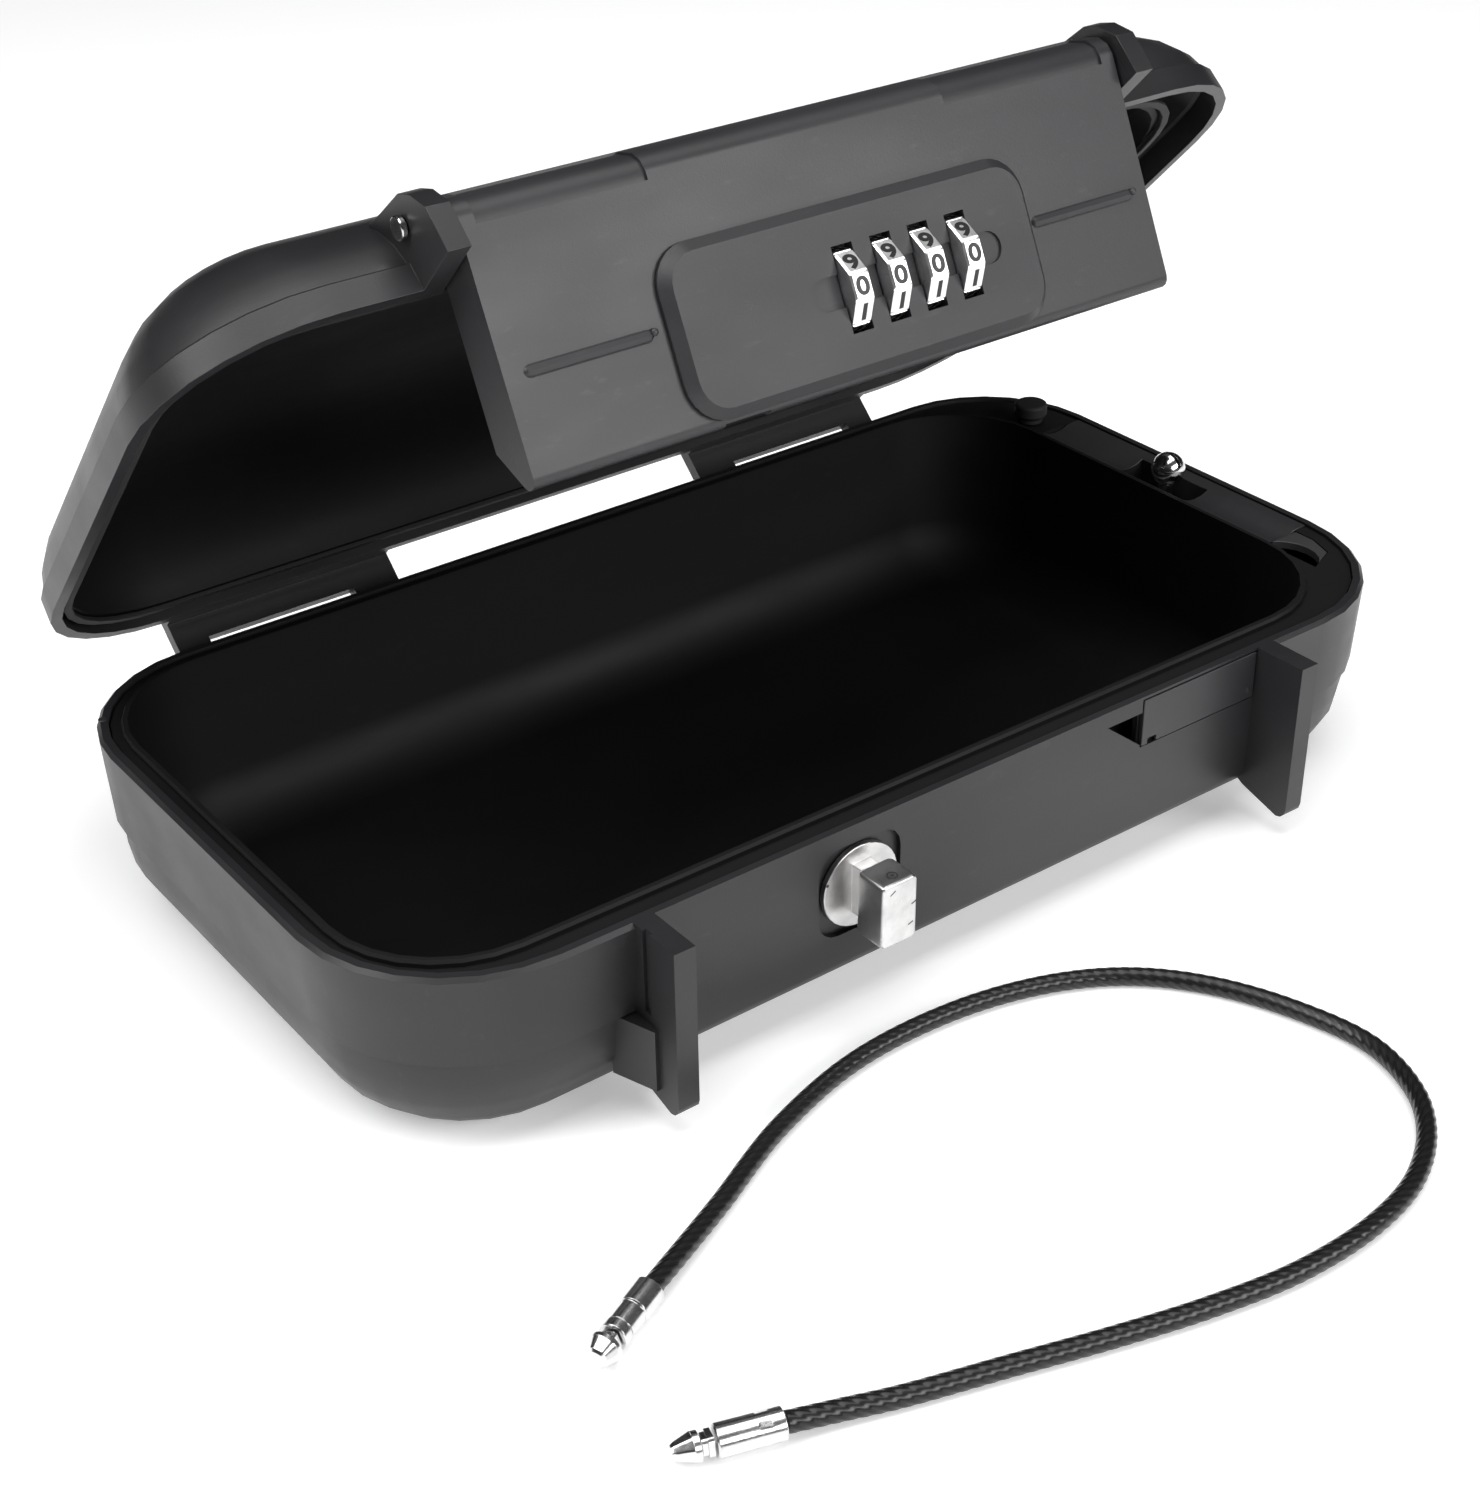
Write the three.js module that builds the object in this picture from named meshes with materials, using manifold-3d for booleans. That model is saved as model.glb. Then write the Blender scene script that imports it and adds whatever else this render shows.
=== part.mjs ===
// Portable safe: a tray in a moulded bowl, a hinged lid, a swinging lock flap and a security cable.
// Millimetres. X runs to the right, Y to the back and Z up, from the middle of the flat underside.
import * as THREE from 'three';
import { mergeVertices } from 'three/addons/utils/BufferGeometryUtils.js';
import Module from 'manifold-3d';

const wasm = await Module();
wasm.setup();

// Fits
const seatGap = 0.3;
const runningGap = 0.3;

// Bowl, the outer half of the base
const baseWidth = 262;
const baseDepth = 140;
const baseFrontRadius = 34;
const baseRearRadius = 30;
const rimHeight = 42;
const bandBottom = 22;
const bandDraft = 0.8;
const bandStep = 1.4;
const bandEdge = 0.5;
const bowlRoll = 17;
const bowlWall = 2.2;
const padRadius = 6;
const padThickness = 0.8;
const padSetback = 34;
const padSides = 12;
const rimLand = 2.4;
const rimEdge = 0.8;
const ledgeWidth = 1;
const flangeThickness = 1.4;
const flangeDrop = 0.6;

// Front panel and its two bumpers
const panelHalfWidth = 77.3;
const panelProud = 0.8;
const panelBottom = 8.5;
const panelFoot = 3;
const bumperWidth = 4.7;
const bumperReach = 12.4;
const bumperBottom = 5;
const bumperRound = 2.5;
const webWidth = 4;
const webTip = 0.8;
const webReach = 6.8;
const grooveDepth = 0.8;
const grooveWidth = 2;
const grooveSetback = 2.8;

// Tray, the inner half of the base; the rims are what the bowl leaves round it
const leftRim = 5;
const rightRim = 17.6;
const frontRim = 6.8;
const rearRim = 6.4;
const trayRadius = 25;
const trayWall = 1.4;
const trayFloor = 1.3;
const trayDraft = 0.1;
const trayRoll = 13;
const trayBedding = 0.1;
const lipRise = 1;
const lipEdge = 0.4;
const lipEdgeHeight = 0.6;

// Cable bay in the wide right rim, placed from the right side of the bowl
const bayRear = 38;
const bayFront = 36.5;
const bayGap = 0.9;
const bayDip = 1.3;
const bayDishInset = 5;
const bayDishRadius = 8.5;
const bayProud = 0.3;
const bayPlateThickness = 2.8;
const pocketSetback = 6.4;
const pocketWidth = 8.1;
const pocketRear = 12;
const pocketFront = 9.5;
const pocketDepth = 9.4;
const pocketWall = 1.2;
const postSetback = 9.6;
const postY = 0.5;
const postBallRadius = 4.1;
const postNeckRadius = 2;
const postFootRadius = 2.8;
const postFootHeight = 1.2;
const postBallRise = 2.2;
const postSlot = 0.9;
const postSlotDepth = 2.5;
const cornerPlateFront = 51.5;
const cornerPlateThickness = 1.8;
const cornerPlateInset = 2.8;
const portRadius = 8.2;
const portSetback = 18.5;
const pegSetback = 12.4;
const pegY = 45.2;
const pegRadius = 4.1;
const pegHeight = 4.9;
const pegWaist = 1;

// Locking stud on the front panel
const studX = -30;
const studZ = 28;
const studDiscRadius = 9;
const studDiscProud = 0.35;
const studRecessDepth = 1.2;
const studRecessMargin = 1;
const studRecessRadius = 5;
const studShankRadius = 3;
const studNutWidth = 10;
const studNutThickness = 2.2;
const studNeckWidth = 4.5;
const studNeckHeight = 11;
const studBarWidth = 8.5;
const studBarHeight = 14.4;
const studBarDrop = 0.2;
const studBarBack = 4;
const studBarThickness = 7.9;
const studBarEdge = 0.8;

// Cable outlet and its cover beside the right bumper
const coverWidth = 33.3;
const coverBottom = 30;
const coverTopGap = 0.6;
const coverThickness = 1.1;
const coverProud = 0.2;
const coverNickWidth = 2.5;
const coverNickSetback = 2;
const coverNickHeight = 1.6;
const outletWidth = 9.7;
const outletTopGap = 3.7;
const outletHeight = 7.7;

// Hinge between base and lid, behind the bowl and below its rim
const hingeOverhang = 6.15;
const hingeDrop = 13.9;
const barrelRadius = 4.2;
const hingePinRadius = 1.5;
const armInner = 42.5;
const armOuter = 97;
const armThickness = 3.2;
const armSetback = 1.25;
const armShoulder = 1.8;
const lugWidth = 4;
const lugFootBelow = 1.4;
const lugFootAbove = 4;
const slotMargin = 7.5;
const slotInset = 11;
const slotDrop = 6.7;
const slotHeight = 2.4;
const openAngle = 46.4;

// Lid shell, drawn closed
const lidLeftSetback = 1;
const lidRightSetback = 0.5;
const lidFrontSetback = 1.5;
const lidFrontRadius = 32;
const lidRearRadius = 31;
const lidBandHeight = 5.5;
const lidBandDraft = 0.4;
const lidBandStep = 0.5;
const domeInset = 28;
const domeHeight = 25;
const lidTop = 25.7;
const lidWall = 2.4;
const recessWall = 2;

// Recess in the lid's front in which the flap's barrel turns; setbacks are from the front panel's face
const recessFootSetback = 4.5;
const recessKneeSetback = 3.1;
const recessKneeRise = 5;
const recessHeadSetback = 1.3;

// Horns at the ends of the recess; reaches are from the front panel's face and rises from the rim
const hornShoulderRise = 9;
const hornNoseReach = 9.3;
const hornNoseRise = 13.3;
const hornTopReach = 5.8;
const hornTopRise = 15.6;
const hornBackSetback = 2.7;
const hornBackRise = 16.8;
const hornRootDepth = 5.5;
const hornRootDrop = 7;

// Lid liner and seal
const linerWall = 1.4;
const linerMargin = 1.2;
const linerFrontSetback = 0.8;
const linerRadius = 29;
const sealWidth = 1.8;
const sealHeight = 1;

// Flap, drawn closed and upright; reaches are from the front panel's face and rises from the rim
const flapSideGap = 0.9;
const flapPinReach = 2.7;
const flapPinRise = 10.9;
const flapPinRadius = 1.5;
const flapPinHeadRadius = 2.2;
const flapPinHeadLength = 1.2;
const flapBarrelRadius = 3.7;
const flapBackReach = 0.7;
const flapDepth = 10.5;
const flapBottom = 4.2;
const flapBackDrop = 0.5;
const flapWall = 2.4;
const flapLedge = 2;
const flapShoulderRise = 9.5;
const flapFootRound = 2.2;
const flapTilt = 20.8;
const ribZ = 23.9;
const ribRadius = 1.4;
const ribProud = 0.8;
const ribLength = 27.5;
const ribSetback = 3.9;
const stripDepth = 0.6;
const stripDrop = 1.5;
const stripInner = 31.5;
const stripSetback = 3.4;
const stripShift = 6;

// Raised lock panel on the flap
const panelLeft = -42.4;
const panelRight = 44.3;
const lockPanelBottom = 5.6;
const lockPanelTop = 38.2;
const lockPanelRadius = 8;
const lockPanelProud = 2.8;
const lockPanelBevel = 2;
const lockPanelFoot = 0.6;
const apertureMargin = 7;
const apertureBottom = 9.6;
const apertureTop = 35.2;

// Combination dials
const dialCount = 4;
const dialPitch = 9.1;
const firstDialX = -2.6;
const dialAxisReach = 9.3;
const dialAxisZ = 21.9;
const dialFacets = 10;
const dialRadius = 8.41;
const dialWidth = 4.4;
const dialBevel = 0.35;
const dialGroove = 0.5;
const windowWidth = 4.9;
const windowHeight = 16.4;
const pillHeight = 6.2;
const pillMargin = 7;
const pillDepth = 0.6;
const spindleRadius = 1.5;
const collarRadius = 2;
const collarLength = 1.3;

// Lock works behind the panel
const channelClearance = 0.95;
const channelMouth = 0.1;
const channelTopGap = 1.1;
const channelLip = 1.3;
const channelLipTop = 5.7;
const studTipGap = 0.4;
const boltTravel = 2.8;
const boltThickness = 1.2;
const boltBottom = 24;
const boltTop = 31;
const boltTip = -24.7;
const tabWidth = 1.4;
const tabDrop = 3;
const tabSetback = 3;
const frameThickness = 1.4;
const frameMargin = 2.5;
const frameDepth = 7.2;
const frameBottom = 10.4;
const frameTop = 33;
const earTop = 27;
const earDepth = 0.7;
const worksGap = 0.4;
const leadWall = 1.5;
const springThickness = 0.5;
const springSlit = 0.8;
const springRise = 0.7;
const springSetback = 1.5;
const backPlateThickness = 1.5;
const backPlateRise = 2.2;
const screwSetback = 9.4;
const screwLowZ = 17.5;
const screwHighDrop = 4;
const screwHeadRadius = 2.6;
const screwHeadHeight = 0.9;
const screwRadius = 1.2;
const screwTipGap = 1.5;
const bossRadius = 3.2;

// Security cable on the floor, as centre points from one end to the other
const cableRadius = 1.9;
const cableSides = 8;
const cableSteps = 46;
const cableRoute = [
  [-109.7, -111.7, 3.3], [-98.5, -106.4, 2.6], [-87.4, -101.1, 2], [-66.4, -91.2, 1.95],
  [-42.6, -84.9, 1.95], [-17.2, -85.2, 1.95], [2.7, -90.5, 1.95], [16.2, -98.5, 1.95],
  [26.1, -109.9, 1.95], [33.2, -125, 1.95], [36.4, -141.5, 1.95], [32.3, -155.1, 1.95],
  [24.8, -164.1, 1.95], [13, -171.1, 1.95], [-1.6, -174.3, 1.95], [-19.7, -174.2, 1.95],
  [-37.6, -170.9, 1.95], [-55, -166.1, 1.95], [-73.5, -160.2, 1.95], [-91.4, -154.6, 2],
  [-100.6, -151.5, 2.5], [-109.8, -148.5, 3.1],
];
const ferruleRadius = 2.9;
const ferruleLengthA = 12.6;
const ferruleLengthB = 11.8;
const endHeadRadius = 3.2;
const endHeadLength = 5.2;
const endNeckRadius = 1.9;
const endNeckLength = 1.6;

// Facets
const cornerSteps = 7;
const rollSteps = 5;
const roundSides = 20;
const barrelSides = 24;

// Values that follow from the driving dimensions
const basePlan = {
  left: -baseWidth / 2,
  right: baseWidth / 2,
  front: -baseDepth / 2,
  rear: baseDepth / 2,
  frontRadius: baseFrontRadius,
  rearRadius: baseRearRadius,
};
const trayPlan = {
  left: basePlan.left + leftRim,
  right: basePlan.right - rightRim,
  front: basePlan.front + frontRim,
  rear: basePlan.rear - rearRim,
  frontRadius: trayRadius,
  rearRadius: trayRadius,
};
const lidPlan = {
  left: basePlan.left + lidLeftSetback,
  right: basePlan.right - lidRightSetback,
  front: basePlan.front + lidFrontSetback,
  rear: basePlan.rear,
  frontRadius: lidFrontRadius,
  rearRadius: lidRearRadius,
};
const linerPlan = {
  left: trayPlan.left - linerMargin,
  right: trayPlan.right + linerMargin,
  front: trayPlan.front + linerFrontSetback,
  rear: trayPlan.rear + linerMargin,
  frontRadius: linerRadius,
  rearRadius: linerRadius,
};
const bowlInset = bandDraft + bandStep;
const cavityInset = bowlInset + bowlWall;
const ledgeInset = rimLand + ledgeWidth;
const panelY = basePlan.front + panelProud;
const panelReach = -panelY;
const bumperOuter = panelHalfWidth + bumperWidth;
const bumperFront = panelY - bumperReach;
const flangeTop = rimHeight - flangeDrop;
const ledgeHeight = flangeTop - flangeThickness - seatGap;
const lipTop = rimHeight + lipRise;
const trayUnderside = bowlWall + seatGap + trayBedding;
const wallBack = basePlan.front + ledgeInset;
const bayInner = trayPlan.right + trayWall / 2 + bayGap;
const pocketRight = basePlan.right - pocketSetback;
const pocketLeft = pocketRight - pocketWidth;
const postX = basePlan.right - postSetback;
const postBallHeight = rimHeight + postBallRise;
const portX = basePlan.right - portSetback;
const pegX = basePlan.right - pegSetback;
const coverLeft = panelHalfWidth - coverWidth;
const coverTop = rimHeight - coverTopGap;
const outletLeft = coverLeft - outletWidth;
const outletTop = rimHeight - outletTopGap;
const outletBottom = outletTop - outletHeight;
const hingeY = basePlan.rear + hingeOverhang;
const hingeZ = rimHeight - hingeDrop;
const slotInner = armInner + slotInset;
const slotOuter = armOuter - slotMargin;
const slotBottom = rimHeight - slotDrop;
const lidRim = rimHeight + seatGap;
const sealBottom = lipTop + seatGap;
const linerBottom = sealBottom + sealHeight + seatGap;
const recessFoot = panelReach - recessFootSetback;
const recessFootZ = linerBottom;
const recessKneeY = panelReach - recessKneeSetback;
const recessKneeZ = rimHeight + recessKneeRise;
const recessHeadY = panelReach - recessHeadSetback;
const flapPinY = panelReach + flapPinReach;
const flapPinZ = rimHeight + flapPinRise;
const hornInner = panelHalfWidth;
const hornOuter = bumperOuter;
const hornShoulderZ = rimHeight + hornShoulderRise;
const hornNoseY = panelReach + hornNoseReach;
const hornNoseZ = rimHeight + hornNoseRise;
const hornTopY = panelReach + hornTopReach;
const hornTopZ = rimHeight + hornTopRise;
const hornBackY = panelReach - hornBackSetback;
const hornBackZ = rimHeight + hornBackRise;
const studDiscFront = panelY - studDiscProud;
const studBarY = panelY - studBarBack;
const studTip = studBarY - studBarThickness;
const channelHalf = studBarWidth / 2 + channelClearance;
const flapHalfWidth = panelHalfWidth - flapSideGap;
const flapBack = panelReach + flapBackReach;
const flapFront = flapBack + flapDepth;
const flapBackTop = rimHeight - flapBackDrop;
const flapShoulderZ = rimHeight + flapShoulderRise;
const ribOuter = flapHalfWidth - ribSetback;
const ribInner = ribOuter - ribLength;
const stripBottom = flapShoulderZ - stripDrop;
const stripOuter = flapHalfWidth - stripSetback;
const lockPanelBack = -flapFront - seatGap;
const lockPanelFront = flapFront + lockPanelProud;
const dialAxisY = panelReach + dialAxisReach;
const frameBack = -lockPanelBack - frameDepth;
const screwX = flapHalfWidth - screwSetback;
const screwHighZ = rimHeight - screwHighDrop;
const lastDialX = firstDialX + dialPitch * (dialCount - 1);
const frameLeft = firstDialX - dialWidth / 2 - frameMargin;
const frameRight = lastDialX + dialWidth / 2 + frameMargin;
const backPlateFront = -flapBack - backPlateThickness;
const boltBack = backPlateFront - seatGap;

// The flap's foot is round, and a lead-in at 45 degrees runs from it up to the flap's back
const footTangentY = -flapFront + flapFootRound * (1 + Math.SQRT1_2);
const footTangentZ = flapBottom + flapFootRound * (1 - Math.SQRT1_2);
const leadTop = footTangentZ - flapBack - footTangentY;
const rebateBottom = leadTop + seatGap;

// Points

// Points along an arc of a circle, with angles in degrees
function arc(x, y, radius, start, end, steps) {
  const points = [];
  for (let step = 0; step <= steps; step += 1) {
    const angle = THREE.MathUtils.degToRad(start + ((end - start) * step) / steps);
    points.push([x + radius * Math.cos(angle), y + radius * Math.sin(angle)]);
  }
  return points;
}

// Outline of a plan moved inwards by an inset, anticlockwise from the front right corner
function outline(plan, inset = 0) {
  const left = plan.left + inset;
  const right = plan.right - inset;
  const front = plan.front + inset;
  const rear = plan.rear - inset;
  const frontRadius = Math.max(plan.frontRadius - inset, 1);
  const rearRadius = Math.max(plan.rearRadius - inset, 1);
  return [
    ...arc(right - frontRadius, front + frontRadius, frontRadius, -90, 0, cornerSteps),
    ...arc(right - rearRadius, rear - rearRadius, rearRadius, 0, 90, cornerSteps),
    ...arc(left + rearRadius, rear - rearRadius, rearRadius, 90, 180, cornerSteps),
    ...arc(left + frontRadius, front + frontRadius, frontRadius, 180, 270, cornerSteps),
  ];
}

// Outline of a rectangle with four equal rounded corners
function roundedRectangle(x0, x1, y0, y1, radius, steps = 4) {
  return [
    ...arc(x1 - radius, y0 + radius, radius, -90, 0, steps),
    ...arc(x1 - radius, y1 - radius, radius, 0, 90, steps),
    ...arc(x0 + radius, y1 - radius, radius, 90, 180, steps),
    ...arc(x0 + radius, y0 + radius, radius, 180, 270, steps),
  ];
}

// Corners of a plain rectangle
function rectangle(x0, x1, y0, y1) {
  return [[x0, y0], [x1, y0], [x1, y1], [x0, y1]];
}

// Solids

// Solid of a closed geometry, turned the right way out
function toSolid(geometry) {
  const bare = geometry.clone();
  bare.deleteAttribute('normal');
  bare.deleteAttribute('uv');
  const merged = mergeVertices(bare, 1e-4);
  const points = merged.attributes.position;
  const corners = [new THREE.Vector3(), new THREE.Vector3(), new THREE.Vector3()];
  const triangles = [];
  let volume = 0;
  for (let i = 0; i < merged.index.count; i += 3) {
    const ids = [merged.index.getX(i), merged.index.getX(i + 1), merged.index.getX(i + 2)];
    if (ids[0] === ids[1] || ids[1] === ids[2] || ids[2] === ids[0]) continue;
    ids.forEach((id, k) => corners[k].fromBufferAttribute(points, id));
    volume += corners[0].dot(corners[1].clone().cross(corners[2]));
    triangles.push(ids);
  }
  if (volume < 0) triangles.forEach((ids) => ids.reverse());
  return new wasm.Manifold(new wasm.Mesh({
    numProp: 3,
    vertProperties: new Float32Array(points.array),
    triVerts: new Uint32Array(triangles.flat()),
  }));
}

// Geometry of a solid
function toGeometry(solid) {
  const mesh = solid.getMesh();
  const geometry = new THREE.BufferGeometry();
  geometry.setAttribute('position', new THREE.BufferAttribute(mesh.vertProperties, 3));
  geometry.setIndex(new THREE.BufferAttribute(mesh.triVerts, 1));
  geometry.computeVertexNormals();
  return geometry;
}

function join(...solids) {
  return solids.reduce((whole, solid) => whole.add(solid));
}

function cut(solid, ...tools) {
  return tools.reduce((rest, tool) => rest.subtract(tool), solid);
}

// Solid through rings of equal point counts that follow each other along an axis
function ringSolid(rings) {
  const count = rings[0].length;
  const mean = (ring, axis) => ring.reduce((sum, point) => sum + point[axis], 0) / count;
  const middle = (ring) => [mean(ring, 0), mean(ring, 1), mean(ring, 2)];
  const positions = [...rings.flat(), middle(rings[0]), middle(rings.at(-1))];
  const first = rings.length * count;
  const index = [];
  for (let j = 0; j < count; j += 1) {
    const next = (j + 1) % count;
    for (let i = 0; i < rings.length - 1; i += 1) {
      const a = i * count + j;
      const b = i * count + next;
      index.push(a, b, b + count, a, b + count, a + count);
    }
    index.push(first, next, j);
    index.push(first + 1, first - count + j, first - count + next);
  }
  const geometry = new THREE.BufferGeometry();
  geometry.setAttribute('position', new THREE.Float32BufferAttribute(positions.flat(), 3));
  geometry.setIndex(index);
  return toSolid(geometry);
}

// Solid of a plan whose inset changes with height; levels are pairs of height and inset
function stack(plan, levels) {
  return ringSolid(levels.map(([z, inset]) => outline(plan, inset).map(([x, y]) => [x, y, z])));
}

function extrude(points, depth, bevel = {}) {
  const shape = new THREE.Shape(points.map(([x, y]) => new THREE.Vector2(x, y)));
  return new THREE.ExtrudeGeometry(shape, { depth, bevelEnabled: false, steps: 1, ...bevel });
}

// Prism of an XY outline between two heights
function prismZ(points, z0, z1) {
  return toSolid(extrude(points, z1 - z0).translate(0, 0, z0));
}

// Prism of a YZ outline between two X values
function prismX(points, x0, x1) {
  const turn = new THREE.Matrix4().makeBasis(
    new THREE.Vector3(0, 1, 0),
    new THREE.Vector3(0, 0, 1),
    new THREE.Vector3(1, 0, 0),
  );
  return toSolid(extrude(points, x1 - x0).applyMatrix4(turn).translate(x0, 0, 0));
}

// Prism of an XZ outline between two Y values
function prismY(points, y0, y1) {
  const turn = new THREE.Matrix4().makeRotationX(Math.PI / 2);
  return toSolid(extrude(points, y1 - y0).applyMatrix4(turn).translate(0, y1, 0));
}

function box(x0, x1, y0, y1, z0, z1) {
  return prismZ(rectangle(x0, x1, y0, y1), z0, z1);
}

// Cylinder along X
function rodX(radius, x0, x1, y, z, sides = roundSides) {
  const rod = new THREE.CylinderGeometry(radius, radius, x1 - x0, sides);
  return toSolid(rod.rotateZ(-Math.PI / 2).translate((x0 + x1) / 2, y, z));
}

// Cylinder along Y
function rodY(radius, y0, y1, x, z, sides = roundSides) {
  const rod = new THREE.CylinderGeometry(radius, radius, y1 - y0, sides);
  return toSolid(rod.translate(x, (y0 + y1) / 2, z));
}

// Turned solid along Z; the profile holds pairs of radius and height and meets the axis at both ends
function turned(profile, x, y, sides = roundSides) {
  const points = profile.map(([radius, z]) => new THREE.Vector2(radius, z));
  return toSolid(new THREE.LatheGeometry(points, sides).rotateX(Math.PI / 2).translate(x, y, 0));
}

// Rounded foot of a bowl, from its flat underside up to its wall
function rollLevels(bottom, radius, wallInset) {
  return arc(0, 0, radius, 0, 90, rollSteps).map(([across, up]) => [
    bottom + radius - across,
    wallInset + radius - up,
  ]);
}

// Materials

const black = (roughness, color = '#232325') => new THREE.MeshStandardMaterial({ color, roughness });
const steel = (roughness, color = '#c9c9cb') => new THREE.MeshStandardMaterial({
  color,
  roughness,
  metalness: 1,
});

function piece(name, solid, material) {
  const mesh = new THREE.Mesh(toGeometry(solid), material);
  mesh.name = name;
  return mesh;
}

// Base

// Bumper outline in YZ, from the rim down its front and back along its foot
function bumperOutline() {
  return [
    [wallBack, rimHeight],
    [bumperFront, rimHeight],
    ...arc(bumperFront + bumperRound, bumperBottom + bumperRound, bumperRound, 180, 270, 3),
    [panelY, bumperBottom + 3],
    [wallBack, panelBottom + 1],
  ];
}

// Knuckle on the back of the bowl that carries one end of a hinge pin
function hingeLug(x0) {
  const foot = baseDepth / 2 - bowlInset;
  return prismX([
    [foot, hingeZ - barrelRadius - lugFootBelow],
    ...arc(hingeY, hingeZ, barrelRadius, -90, 90, 8),
    [foot, hingeZ + barrelRadius + lugFootAbove],
  ], x0, x0 + lugWidth);
}

// Centres of the four pads, towards the corners of the base
function padPlaces() {
  const x = baseWidth / 2 - padSetback;
  const y = baseDepth / 2 - padSetback;
  return [[-x, -y], [x, -y], [x, y], [-x, y]];
}

function baseShell() {
  const outside = stack(basePlan, [
    ...rollLevels(0, bowlRoll, bowlInset),
    [bandBottom, bowlInset],
    [bandBottom + bandEdge, bandDraft],
    [rimHeight - rimEdge, 0],
    [rimHeight, rimEdge],
  ]);
  const inside = stack(basePlan, [
    ...rollLevels(bowlWall, bowlRoll - bowlWall, cavityInset),
    [bandBottom, cavityInset],
    [bandBottom + bandEdge, ledgeInset],
    [ledgeHeight, ledgeInset],
    [ledgeHeight + 0.001, rimLand],
    [rimHeight + 1, rimLand],
  ]);
  const panel = prismX([
    [wallBack + 2, rimHeight],
    [panelY, rimHeight],
    ...arc(panelY + panelFoot, panelBottom + panelFoot, panelFoot, 180, 270, 3),
    [wallBack + 2, panelBottom],
  ], -bumperOuter, bumperOuter);
  const flush = box(
    -panelHalfWidth, panelHalfWidth,
    -baseDepth, panelY,
    0, rimHeight + 1,
  );
  const bumpers = [-bumperOuter, panelHalfWidth].map((x) => prismX(
    bumperOutline(), x, x + bumperWidth,
  ));
  const web = prismZ([
    [-bumperOuter - webWidth, wallBack],
    [-bumperOuter - webTip, panelY - webReach],
    [-bumperOuter + 1, panelY - webReach],
    [-bumperOuter + 1, wallBack],
  ], panelBottom, bandBottom);
  const lugs = [
    -armOuter - seatGap - lugWidth,
    -armInner + seatGap,
    armInner - seatGap - lugWidth,
    armOuter + seatGap,
  ].map(hingeLug);
  const pinHole = rodX(
    hingePinRadius + runningGap, basePlan.left, basePlan.right, hingeY, hingeZ,
  );
  const recessHalf = studDiscRadius + studRecessMargin;
  const recess = prismY(
    roundedRectangle(
      studX - recessHalf, studX + recessHalf,
      studZ - recessHalf, studZ + recessHalf,
      studRecessRadius,
    ),
    panelY - 1, panelY + studRecessDepth,
  );
  const studHole = rodY(studShankRadius + runningGap, panelY - 1, wallBack + 1, studX, studZ);
  const outlet = prismY([
    [outletLeft, outletTop],
    [coverLeft, outletBottom],
    [coverLeft, outletTop],
  ], panelY - 1, wallBack + 1);
  const coverSeat = box(
    coverLeft, panelHalfWidth,
    panelY - 1, panelY - coverProud + coverThickness + seatGap,
    coverBottom, coverTop,
  );
  const padSeats = padPlaces().map(([x, y]) => turned([
    [0, -1],
    [padRadius + seatGap, -1],
    [padRadius + seatGap, padThickness + seatGap],
    [0, padThickness + seatGap],
  ], x, y, padSides));
  const groove = box(
    -bumperOuter - 1, -bumperOuter + grooveDepth,
    panelY - grooveSetback - grooveWidth, panelY - grooveSetback,
    bandBottom + 2, rimHeight + 1,
  );
  const body = cut(outside, flush);
  const whole = join(body, panel, ...bumpers, web, ...lugs);
  return cut(
    whole, inside, pinHole, recess, studHole, outlet, coverSeat, groove, ...padSeats,
  );
}

// Soft pad that the safe stands on, set flush into the underside of the bowl
function standingPad([x, y]) {
  return turned([
    [0, 0],
    [padRadius, 0],
    [padRadius, padThickness],
    [0, padThickness],
  ], x, y, padSides);
}

function baseInner() {
  const draftAt = (z) => (flangeTop - z) * trayDraft;
  const wallLevels = (bottom, radius, offset) => {
    const levels = rollLevels(bottom, radius, offset);
    return levels.map(([z, inset]) => [z, inset + draftAt(z)]);
  };
  const outside = stack(trayPlan, [
    ...wallLevels(trayUnderside, trayRoll, -trayWall / 2),
    [lipTop - lipEdgeHeight, -trayWall / 2],
    [lipTop, -trayWall / 2 + lipEdge],
  ]);
  const inside = stack(trayPlan, [
    ...wallLevels(trayUnderside + trayFloor, trayRoll - trayFloor, trayWall / 2),
    [lipTop - lipEdgeHeight, trayWall / 2],
    [lipTop + 1, trayWall / 2],
  ]);
  const flange = stack(basePlan, [
    [flangeTop - flangeThickness, rimLand + seatGap],
    [flangeTop, rimLand + seatGap],
  ]);
  const frontTrim = box(
    -panelHalfWidth - 1, panelHalfWidth + 1,
    -baseDepth, panelY + rimLand - panelProud + seatGap,
    0, flangeTop + 0.1,
  );
  const bay = box(
    bayInner, baseWidth,
    -bayFront - seatGap, bayRear + seatGap,
    ledgeHeight - 5, flangeTop + 0.1,
  );
  const cornerHole = prismZ(cornerPlateOutline(0), ledgeHeight - 5, flangeTop + 0.1);
  return cut(join(outside, cut(flange, frontTrim, bay, cornerHole)), inside);
}

// Outline of the plate in the front right corner, which follows the curve of the rim
function cornerPlateOutline(margin) {
  const inner = bayInner + margin;
  const edge = outline(basePlan, rimLand + seatGap + cornerPlateInset + margin)
    .filter(([x, y]) => x > inner && y > -cornerPlateFront + margin && y < -bayFront - 2 * seatGap);
  return [
    [inner, -cornerPlateFront + margin],
    ...edge,
    [edge.at(-1)[0], -bayFront - seatGap - margin],
    [inner, -bayFront - seatGap - margin],
  ];
}

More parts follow.
